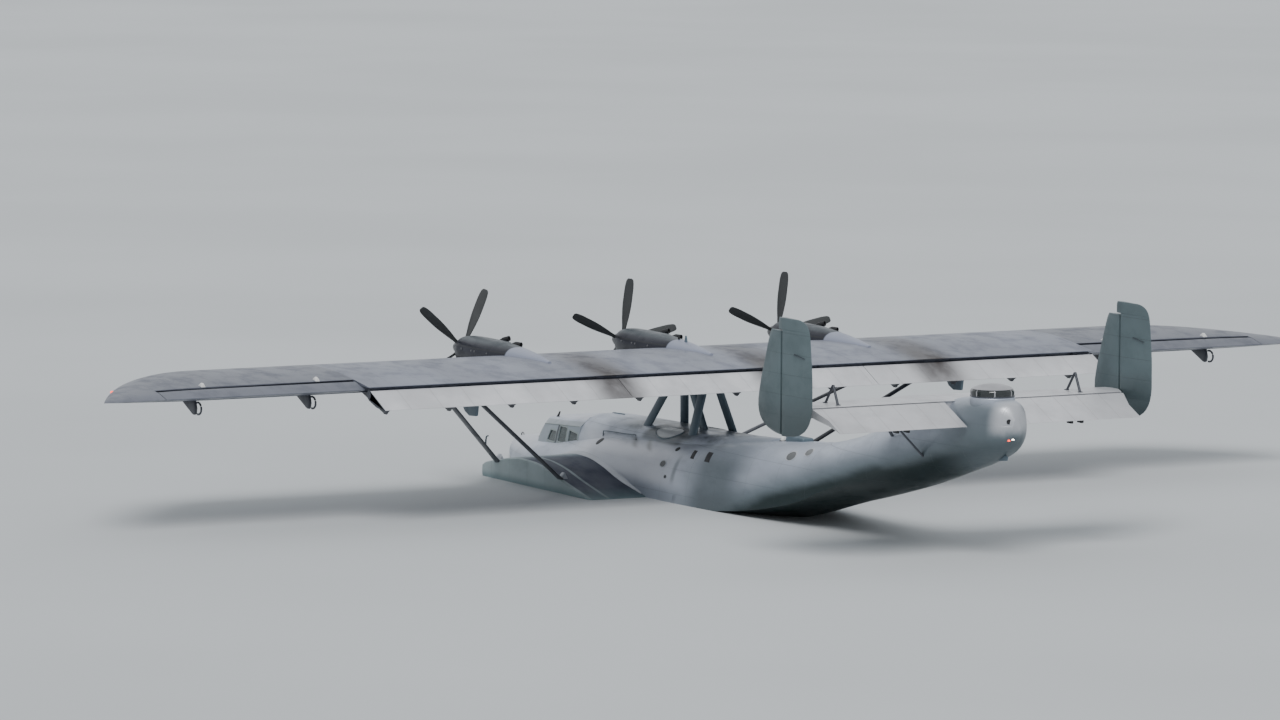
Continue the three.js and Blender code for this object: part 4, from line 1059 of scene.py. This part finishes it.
def elevator_section(y):
    chord, turn = ELEVATOR_CHORD, ELEVATOR_DROOP
    ring = [(ELEVATOR_ROUND * math.cos(t), ELEVATOR_ROUND * math.sin(t))
            for t in spread(0.47 * math.pi, -0.47 * math.pi, 17)]
    ring += [(-chord * 0.5, -0.049), (-chord + 0.005, -0.004), (-chord, 0.0), (-chord + 0.005, 0.004),
             (-chord * 0.5, 0.049)]
    return [(ELEVATOR_X + x * math.cos(turn) + z * math.sin(turn), y,
             TAIL_Z - x * math.sin(turn) + z * math.cos(turn)) for x, z in ring]


def make_tail_wing():
    ys = spread(-TAIL_TIP, -0.6, 8) + spread(-0.4, 0.4, 3) + spread(0.6, TAIL_TIP, 8)
    plane = loft("tailplane_skin", [tailplane_section(y) for y in ys])
    inner = FIN_SIDE - 0.335
    notch = [(-10.88, TAIL_TIP), (-10.88, FIN_SIDE), (-11.7, FIN_SIDE), (-11.7, inner), (-11.4, inner)]
    cuts = [prism("notch", [(x, side * y) for x, y in notch], 2.9, 3.2, "z") for side in (1, -1)]
    dress(boolean(plane, cuts), "tailplane", node="tailplane")
    rods = []
    for y in (2.9, -2.9):
        for x in (-10.56, -11.09):
            pad = [(0.0, 3.14), (0.055, 3.14), (0.055, 3.158), (0.03, 3.17), (0.0, 3.17)]
            rods.append(oval_bar("rod", (x, y, 3.13), (-10.88, y, 3.545), 0.058, 0.058, 0.0, 14))
            rods.append(lathe("foot", pad, (x, y, 0), "z", 18))
    dress(joined("tail_horns", rods), "strut")
    room = [(-11.24, inner), (-11.50, inner - 0.01), (-11.90, inner - 0.135), (-12.7, inner - 0.135),
            (-12.7, 5.0), (-11.24, 5.0)]
    for side, label in SIDES:
        ys = spread(0.6, FIN_SIDE - 0.33, 8)
        skin = loft(f"elevator_skin_{label}", [elevator_section(side * y) for y in ys])
        boolean(skin, [prism("cut", [(x, side * y) for x, y in room], 2.0, 3.5, "z")])
        dress(skin, "tailplane", "elevators", f"elevator_{label}")


def fin_ring(y, z):
    front, back = FIN_FRONT(z), -10.862
    runs = [(front - back) * (1 - math.cos(t)) for t in spread(0.0, math.pi / 2, 15)]
    half = [(front - run, 0.078 * math.sin(math.pi / 2 * min(run / 0.62, 1.0)) ** 0.62) for run in runs]
    ring = half + [(back, 0.03), (back, -0.03)] + [(x, -w) for x, w in half[:0:-1]]
    return [(x, y + w, z) for x, w in ring]


def rudder_ring(y, z):
    back = RUDDER_BACK(z)
    if z < RUDDER_SPLIT:
        reach = RUDDER_ROUND * min(1.0, 0.1 - back / 0.25)
        nose = [(reach * math.cos(t), -reach * math.sin(t))
                for t in spread(0.47 * math.pi, -0.47 * math.pi, 13)]
        tail = [(back * share, (1 - share) ** 0.9 * reach * 0.97 + 0.006 * share)
                for share in (0.15, 0.35, 0.6, 0.85, 1.0)]
        ring = nose + tail + [(x, -w) for x, w in reversed(tail)]
    else:
        front = 0.29 - 0.02 * max(0.0, (z - 4.90) / 0.05)
        half = []
        for share in spread(0.0, 1.0, 23):
            w = 0.06 * min(1.0, share / 0.18) ** 0.6 * min(1.0, (1 - share) / 0.8 + 0.1)
            half.append((front + (back - front) * share, max(w, 0.005)))
        ring = half + [(x, -w) for x, w in reversed(half)]
    return [(RUDDER_X + x, y + w, z) for x, w in ring]


make_tail_wing()
FIN_LEVELS = [2.572, 2.58, 2.59, 2.60, 2.63, 2.68, 2.74, 2.80, 2.89, 2.98]
FIN_LEVELS += spread(3.10, 4.6, 12) + [4.65, 4.68, 4.70]
RUDDER_LEVELS = [2.557, 2.57, 2.58, 2.60, 2.63, 2.66, 2.72, 2.80, 2.90, 3.00, 3.12]
RUDDER_LEVELS += spread(3.25, 4.6, 12) + [4.66, 4.70, 4.7305]
HORN_LEVELS = [4.732, 4.78, 4.83, 4.875, 4.91, 4.935, 4.95, 4.96, 4.966]
for side, label in SIDES:
    y = side * FIN_SIDE
    dress(loft(f"fin_skin_{label}", [fin_ring(y, z) for z in FIN_LEVELS], 32), "tail", node=f"fin_{label}")
    parts = [loft("part", [rudder_ring(y, z) for z in levels], 32)
             for levels in (RUDDER_LEVELS, HORN_LEVELS)]
    dress(joined(f"rudder_skin_{label}", parts, 32), "tail", f"rudder_{label}", f"rudder_{label}")


# Tail cockpit dome: profiles as distances inside the ring and heights over it
DOME_FOOT = RING["top"] + 0.0004
DOME_SKIN = [
    (0.005, 0.0), (0.005, 0.105), (0.02, 0.135), (0.05, 0.160), (0.10, 0.187), (0.18, 0.217), (0.25, 0.236),
    (0.33, 0.250), (RING["radius"], 0.2585), (RING["radius"], 0.232), (0.33, 0.224), (0.20, 0.194),
    (0.095, 0.146), (0.035, 0.10), (0.035, 0.0),
]
DOME_PANE = [
    (0.014, 0.006), (0.014, 0.10), (0.032, 0.132), (0.062, 0.154), (0.10, 0.172), (0.10, 0.164),
    (0.066, 0.146), (0.040, 0.126), (0.022, 0.098), (0.022, 0.006),
]
DOME_RIM = [(0.0, -0.002), (0.0, 0.012), (0.02, 0.02), (0.02, -0.002)]


def dome_layer(name, profile, sides):
    profile = [(RING["radius"] - inset, DOME_FOOT + height) for inset, height in profile]
    return lathe(name, profile, (RING["x"], 0, 0), "z", sides)


def make_dome():
    skin = dome_layer("dome_skin", DOME_SKIN, 72)
    for t in [2 * math.pi * (k + 0.5) / 7 for k in range(7)]:
        along, beside = Vector((math.cos(t), math.sin(t))), Vector((-math.sin(t), math.cos(t)))
        corners = [along * a + beside * b
                   for a, b in ((0.33, -0.185), (0.6, -0.185), (0.6, 0.185), (0.33, 0.185))]
        outline = [(RING["x"] + c.x, c.y) for c in corners]
        boolean(skin, [prism("cut", outline, DOME_FOOT + 0.014, DOME_FOOT + 0.15, "z")], 35)
    dress(skin, "dome", node="tail_dome")
    dress(dome_layer("dome_glass", DOME_PANE, 64), "smoke")
    dress(dome_layer("dome_rim", DOME_RIM, 64), "strut")


make_dome()

# Cockpit
CANOPY_POINTS = [
    (3.901, 0.86, 0.60), (3.901, 0.80, 1.10), (3.901, 0.545, 1.31), (3.901, 0.0, 1.385), (5.0, 0.85, 0.48),
    (5.0, 0.74, 1.04), (5.0, 0.50, 1.19), (5.9, 0.74, 0.43), (5.9, 0.64, 0.97), (5.86, 0.42, 1.09),
    (6.38, 0.0, 1.105), (6.29, 0.30, 1.075), (6.25, 0.68, 0.43), (6.78, 0.40, 0.43), (7.02, 0.0, 0.43),
]
SIDE_PANES = [
    # corners in x and z, from the lower rear one
    [(3.985, 0.69), (4.45, 0.685), (4.42, 0.97), (4.0, 0.93)],
    [(4.55, 0.68), (4.99, 0.67), (4.93, 1.01), (4.56, 1.01)],
    [(5.12, 0.65), (5.60, 0.64), (5.46, 0.875), (5.12, 0.88)],
]
FRONT_PANES = [
    # corners in y and z
    [(0.045, 0.65), (0.33, 0.65), (0.32, 1.0), (0.045, 1.0)],
    [(0.39, 0.64), (0.56, 0.64), (0.53, 0.90), (0.39, 0.90)],
]


def canopy_hull(name, inset, bevel=0.05):
    points = []
    for x, y, z in CANOPY_POINTS:
        width = y * (1 - inset / 0.76)
        height = z - (z - 0.4) * inset / 0.78 if z > 0.6 else z
        stations = (3.6, x) if x < 4 else (x - (x - 5.2) * inset / 1.4,)
        points += [(at, way * width, height) for at in stations for way in (1, -1)]
    return hull_of(name, points, 25, bevel, 4)


def pane_cutters(width):
    """Cutters for the windows, wider than the panes by a width at each corner."""
    cutters = []
    for panes, axis, spans in ((SIDE_PANES, "y", ((1, 0.3, 1.5), (1, -1.5, -0.3))),
                               (FRONT_PANES, "x", ((1, 5.9, 7.5), (-1, 5.9, 7.5)))):
        for corners in panes:
            cx, cz = (sum(p[k] for p in corners) / 4 for k in (0, 1))
            grown = [(x + math.copysign(width, x - cx), z + math.copysign(width, z - cz)) for x, z in corners]
            for side, low, high in spans:
                cutter = prism("pane", [(side * x, z) for x, z in grown], low, high, axis)
                cutters.append(bevelled(cutter, 0.03 + width * 0.6, 3))
    return joined("panes", cutters)


def make_canopy():
    cuts = [canopy_hull("core", 0.045, 0.02), pane_cutters(0.0), block("below", 3.0, 8.0, -2, 2, -0.5, 0.40),
            block("behind", 3.0, 3.9012, -2, 2, -0.5, 3)]
    dress(boolean(canopy_hull("canopy_skin", 0.0), cuts, 25), "canopy", node="canopy")
    glazing = boolean(canopy_hull("canopy_glass", 0.014), [canopy_hull("core", 0.020)], 25)
    dress(boolean(glazing, [pane_cutters(0.012)], 25, "INTERSECT"), "glass")
    frames = boolean(canopy_hull("window_frames", -0.006), [canopy_hull("core", 0.004)], 25)
    boolean(frames, [pane_cutters(0.030)], 25, "INTERSECT")
    dress(boolean(frames, [pane_cutters(-0.002)], 25), "frame")
    # A dark strip between the two front side windows: painted shadow of the gap between them
    shadow_strip = boolean(canopy_hull("window_gap_shadow", -0.004), [canopy_hull("core", 0.004)], 25)
    slant = prism("slant", [(5.17, 0.60), (5.05, 0.60), (4.965, 1.045), (5.035, 1.045)], -1.5, 1.5)
    dress(boolean(shadow_strip, [slant], 25, "INTERSECT"), "strut")
    gutter = [(5.88, 0.638, 0.978), (5.0, 0.742, 1.046), (4.4, 0.77, 1.075), (3.94, 0.792, 1.10)]
    wiper = [(6.52, 0.30, 0.50), (6.50, 0.30, 0.56), (6.36, 0.22, 0.86)]
    for side, label in SIDES:
        dress(tube(f"roof_gutter_{label}", across(gutter, side), 0.011, 10), "frame")
        dress(tube(f"wiper_{label}", across(wiper, side), [0.014, 0.009, 0.006], 8), "black")


def make_seat(side, label):
    y = side * 0.3
    base = [bevelled(block("base", 4.57, 4.95, y - 0.20, y + 0.20, 0.0604, 0.20), 0.02, 3),
            bevelled(block("pan", 4.49, 5.01, y - 0.23, y + 0.23, 0.19, 0.25), 0.02, 3)]
    dress(joined(f"seat_base_{label}", base), "metal", node=f"seat_{label}")
    back = taper(f"seat_back_{label}", (4.452, 4.502, y - 0.23, y + 0.23, 0.2),
                 (4.452, 4.502, y - 0.15, y + 0.15, 0.86), 25, 0.02)
    dress(back, "metal")
    cushion = bevelled(block(f"seat_cushion_{label}", 4.53, 5.0, y - 0.215, y + 0.215, 0.25, 0.328), 0.032, 5)
    rest = taper(f"seat_rest_{label}", (4.502, 4.568, y - 0.2, y + 0.2, 0.33),
                 (4.502, 4.568, y - 0.13, y + 0.13, 0.72), 25, 0.03, 5)
    head = bevelled(block(f"head_rest_{label}", 4.502, 4.56, y - 0.12, y + 0.12, 0.73, 0.855), 0.026, 5)
    for pad in (cushion, rest, head):
        dress(pad, "seat")
    belts = [block("belt", 4.566, 4.573, y + at - 0.022, y + at + 0.022, 0.36, 0.70) for at in (-0.09, 0.09)]
    dress(joined(f"seat_belts_{label}", belts), "white")


def make_controls():
    panel = bevelled(block("instrument_panel_box", 5.85, 6.1496, -0.56, 0.56, 0.43, 0.70), 0.03, 4)
    dress(panel, "black", node="instrument_panel")
    rim = [(0.040, 5.846), (0.048, 5.842), (0.054, 5.852), (0.040, 5.852)]
    dials = [(0, y, z) for y in (-0.44, -0.30, -0.16, 0.0, 0.16, 0.30, 0.44) for z in (0.62, 0.50)]
    dress(joined("dial_rims", [lathe("rim", rim, at, "x", 20) for at in dials]), "metal")
    dress(joined("dial_faces", [disc("face", 0.042, 5.848, 5.855, at, "x", 20) for at in dials]), "dial")
    for side, label in SIDES:
        y = side * 0.3
        arc = [(5.43, y + 0.13 * math.sin(a), 0.53 + 0.10 * math.cos(a))
               for a in [math.radians(d) for d in range(50, 311, 20)]]
        parts = [tube("column", [(5.56, y, 0.062), (5.52, y, 0.30), (5.44, y, 0.50), (5.46, y, 0.53)], 0.018),
                 tube("wheel", arc, 0.014, 10),
                 tube("bar", [(5.44, y - 0.12, 0.53), (5.44, y + 0.12, 0.53)], 0.012, 10)]
        dress(joined(f"control_wheel_{label}", parts), "rubber")


make_canopy()
for side, label in SIDES:
    make_seat(side, label)
make_controls()

# Small fittings: patches that lie on the hull's skin, aerials, lamps
PATCH_DEPTH = 0.01
PORTHOLES = [
    # x, z, half the length, half the height
    (-5.48, 1.42, 0.17, 0.085), (-6.05, 1.552, 0.14, 0.065),
    (-0.71, 0.78, 0.115, 0.065), (-0.97, 0.53, 0.055, 0.035),
]
VENT_SLOTS = [
    [(-1.73, 1.15), (-1.58, 1.15), (-1.68, 0.99), (-1.83, 0.99)],
    [(-2.43, 1.18), (-2.21, 1.18), (-2.31, 0.99), (-2.53, 0.99)],
]
DECK_OVALS = [
    # name, x, y, half the length and width, height over the deck, finish, share of its hole
    ("side_scoop", 2.66, 0.97, 0.10, 0.09, 0.006, "black", 0.0),
    ("side_drain", -0.88, 0.955, 0.075, 0.05, 0.006, "black", 0.0),
    # A painted highlight on the spine's top, and a dark ring round it as painted shadow
    ("deck_hatch", 0.16, 0.57, 0.50, 0.19, 0.012, "pale", 0.0),
    ("hatch_rim", 0.16, 0.57, 0.54, 0.22, 0.014, "cabane", 0.93),
]


def skin_patch(name, outlines, low, high, finish, holes=()):
    """A thin layer of the hull's side inside outlines in x and z, between two heights over the skin."""
    xs = [x for outline in outlines for x, z in outline]
    start, end = min(xs), max(xs)
    count = int(4 * (end - start))
    span, wider = spread(start - 0.2, end + 0.2, 12 + count), spread(start - 0.3, end + 0.3, 14 + count)
    layer = loft(name, [hull_ring(x, high) for x in span], 28)
    cutters = [prism("cut", outline, *reach)
               for outline in outlines for reach in ((0.25, 2.0), (-2.0, -0.25))]
    boolean(layer, [joined("cuts", cutters)], 28, "INTERSECT")
    core = loft("core", [hull_ring(x, low) for x in wider], 28)
    for other in [core] + [prism("hole", outline, -2.0, 2.0) for outline in holes]:
        boolean(layer, [other], 28)
    dress(layer, finish)


def deck_oval(name, cx, cy, a, b, high, finish, hole):
    """A thin oval on the deck, or an oval ring when it has a hole."""
    shares = [hole or 0.001] + [hole + (1 - hole) * k / 4 for k in (1, 2, 3, 4)]
    rings = []
    for t in around(40):
        spots = [(cx + a * s * math.cos(t), cy + b * s * math.sin(t)) for s in shares]
        rings.append([(x, y, deck_top(x, y) + high) for x, y in spots]
                     + [(x, y, deck_top(x, y) - PATCH_DEPTH) for x, y in reversed(spots)])
    dress(loft(name, rings, 40, closed=True), finish)


def bead(name, centre, radius, finish, flat):
    """A round lamp glass, with its height as a share of its radius."""
    dome = [(radius * math.cos(t), radius * flat * math.sin(t)) for t in spread(0.0, math.pi * 5 / 12, 6)]
    profile = [(0.0, -0.02), (radius, -0.02)] + dome + [(0.0, radius * flat)]
    dress(lathe(name, profile, centre, "z", 24), finish)


def make_hull_fittings():
    holes = [circle(x, z, wide, squash=tall / wide) for x, z, wide, tall in PORTHOLES]
    rims = [circle(x, z, wide + 0.025, squash=(tall + 0.018) / (wide + 0.025))
            for x, z, wide, tall in PORTHOLES]
    skin_patch("porthole_rims", rims, -PATCH_DEPTH, 0.006, "fillet", holes)
    skin_patch("porthole_glass", holes, -0.006, 0.0025, "smoke")
    skin_patch("vent_slots", VENT_SLOTS, -PATCH_DEPTH, 0.004, "black")
    for side, label in SIDES:
        for name, x, y, *rest in DECK_OVALS:
            deck_oval(f"{name}_{label}", x, side * y, *rest)
        y = side * 0.86
        rail = [(x, y, deck_top(x, y) + 0.11) for x in spread(2.7, 1.2, 8)]
        rail = [(2.72, y, rail[0][2] - 0.12)] + rail + [(1.18, y, rail[-1][2] - 0.12)]
        dress(tube(f"deck_rail_{label}", rail, 0.012, 10), "cabane")
    eye = [(0.05, -0.012), (0.06, -0.016), (0.072, 0.0), (0.06, 0.016), (0.05, 0.012), (0.045, 0.0)]
    dress(lathe("bow_ring", eye, (8.19, 0, 0.45), "y", 24), "metal")
    x, y = -3.98, 0.10
    bead("beacon", (x, y, deck_top(x, y) + 0.03), 0.055, "white", 1.4)
    base = [(0.0, -0.02), (0.085, -0.02), (0.07, 0.02), (0.0, 0.02)]
    dress(lathe("beacon_base", base, (x, y, deck_top(x, y)), "z", 24), "metal")
    dress(bevelled(block("deck_box", -4.9, -4.15, -0.14, 0.14, 1.50, 1.70), 0.04, 4), "cabane")
    blade = [(5.95, 0.33, 1.09), (5.81, 0.33, 1.09), (5.88, 0.296, 1.09), (5.88, 0.364, 1.09),
             (5.78, 0.33, 1.25), (5.715, 0.33, 1.25), (5.75, 0.313, 1.25), (5.75, 0.347, 1.25)]
    dress(hull_of("roof_aerial", blade, 40, 0.003, 2), "black")
    spine = [(x, 0.0, deck_top(x, 0.0) + 0.006) for x in spread(4.3, 3.3, 12)]
    dress(tube("spine_rail", spine, 0.016, 10), "cabane")


def make_tail_fittings():
    bead("tail_lamp", (-13.215, 0.05, 2.535), 0.04, "lamp_white", 0.9)
    bead("tail_lamp_red", (-13.19, 0.125, 2.51), 0.03, "lamp_red", 0.9)
    port = [(0.0, -0.02), (0.052, -0.02), (0.052, 0.006), (0.0, 0.008)]
    dress(lathe("tail_port", port, (-13.222, 0.15, 2.89), "x", 20), "black")
    skid = [(-12.62, 0, 2.02), (-12.95, 0, 2.06), (-12.98, 0, 2.13), (-12.80, 0.02, 2.2),
            (-12.80, -0.02, 2.2), (-12.60, 0.02, 2.12), (-12.60, -0.02, 2.12)]
    dress(hull_of("tail_skid", skid, 30, 0.006, 3), "cabane")
    for side, label in SIDES:
        y, x, body = side * FIN_SIDE, RUDDER_X, f"rudder_{label}"
        spike = [(-11.27, y, 4.93), (-11.27, y, 4.962), (-11.27, y, 4.9655)]
        dress(tube(f"rudder_aerial_{label}", spike, [0.03, 0.022, 0.01], 14), "white", body)
        rods = [oval_bar("rod", (x - 0.42, y + s * 0.06, 4.27), (x - 0.80, y + s * 0.032, 4.20),
                         0.03, 0.03, 0.0, 10) for s in (1, -1)]
        dress(joined(f"rudder_tab_rods_{label}", rods), "strut", body)
        lugs = [bevelled(block("lug", -12.30, -12.12, side * (at + 0.03), side * (at - 0.03), 2.66, 2.735),
                         0.012) for at in (1.95, 2.2)]
        dress(joined(f"elevator_weights_{label}", lugs), "black", "elevators")


def make_wing_fittings():
    lamp_y = 14.2
    lamp_x = lead_at(lamp_y) - 0.06
    plate = [(-0.30, 2.70), (-0.45, 2.42), (-0.70, 2.16), (-0.90, 2.08), (-1.22, 2.10),
             (-1.27, 2.34), (-1.10, 2.72)]
    for side, label in SIDES:
        y = side * 6.05
        dress(bevelled(prism(f"strut_fairing_{label}", plate, y - 0.035, y + 0.035), 0.02, 4), "cabane")
        for name, x, z, top in (("front", 4.33, 0.40, 0.56), ("rear", 1.32, 0.29, 0.46)):
            corners = ((0.17, -0.17, 2.56, z), (0.17, -0.17, 2.70, z - 0.02), (0.02, -0.12, 2.62, top),
                       (0.02, -0.12, 2.70, top - 0.1))
            points = [(x + at, y, h) for ahead, behind, y, h in corners for at in (ahead, behind)]
            dress(hull_of(f"strut_foot_{name}_{label}", across(points, side), 35, 0.02, 3), "fillet")
        bead(f"wing_lamp_{label}", (lamp_x, side * lamp_y, outer_top(lamp_x, lamp_y) - 0.004), 0.035,
             "lamp_red" if side > 0 else "lamp_green", 0.8)
    mast = [(3.60, 3.34, 0.84), (3.59, 3.34, 0.98), (3.57, 3.34, 1.03), (3.53, 3.34, 1.06),
            (3.47, 3.34, 1.07)]
    dress(tube("pitot", mast, [0.02, 0.018, 0.018, 0.018, 0.013]), "cabane")
    for name, x, height, wide, finish in (("front", 0.818, 0.10, 0.03, "black"),
                                          ("rear", 0.50, 0.14, 0.045, "cabane")):
        z = NACELLE[2](x)
        stub = taper(f"nacelle_aerial_{name}", (x - wide, x + wide, -0.02, 0.02, z - 0.02),
                     (x - wide / 2, x + wide / 2, -0.012, 0.012, z + height), 35, 0.006)
        dress(stub, finish)


make_hull_fittings()
make_tail_fittings()
make_wing_fittings()


# Floor at the waterline, and soft light
def make_stage():
    size = 1500.0
    mesh = bpy.data.meshes.new("floor")
    corners = [(-size, -size, 0), (size, -size, 0), (size, size, 0), (-size, size, 0)]
    mesh.from_pydata(corners, [], [(0, 1, 2, 3)])
    floor = link("floor", mesh)
    tree = Tree("floor_pale")
    tone = tree.remap(tree.noise(0.05, EVEN, 3.0, 0.5), 0.3, 0.7)
    mesh.materials.append(tree.finish(tree.mix(tone, (0.55, 0.57, 0.58), (0.59, 0.61, 0.62)), 0.8))
    world = bpy.data.worlds.new("sky")
    bpy.context.scene.world = world
    world.use_nodes = True
    background = world.node_tree.nodes["Background"]
    background.inputs["Color"].default_value = (0.80, 0.85, 0.9, 1.0)
    background.inputs["Strength"].default_value = 0.62
    for name, energy, soft, turn in (("key", 2.2, 30.0, (38, 0, -122)), ("fill", 0.45, 80.0, (60, 0, 60))):
        light = bpy.data.lights.new(name, "SUN")
        light.energy = energy
        light.angle = math.radians(soft)
        link(name, light).rotation_euler = [math.radians(a) for a in turn]


make_stage()
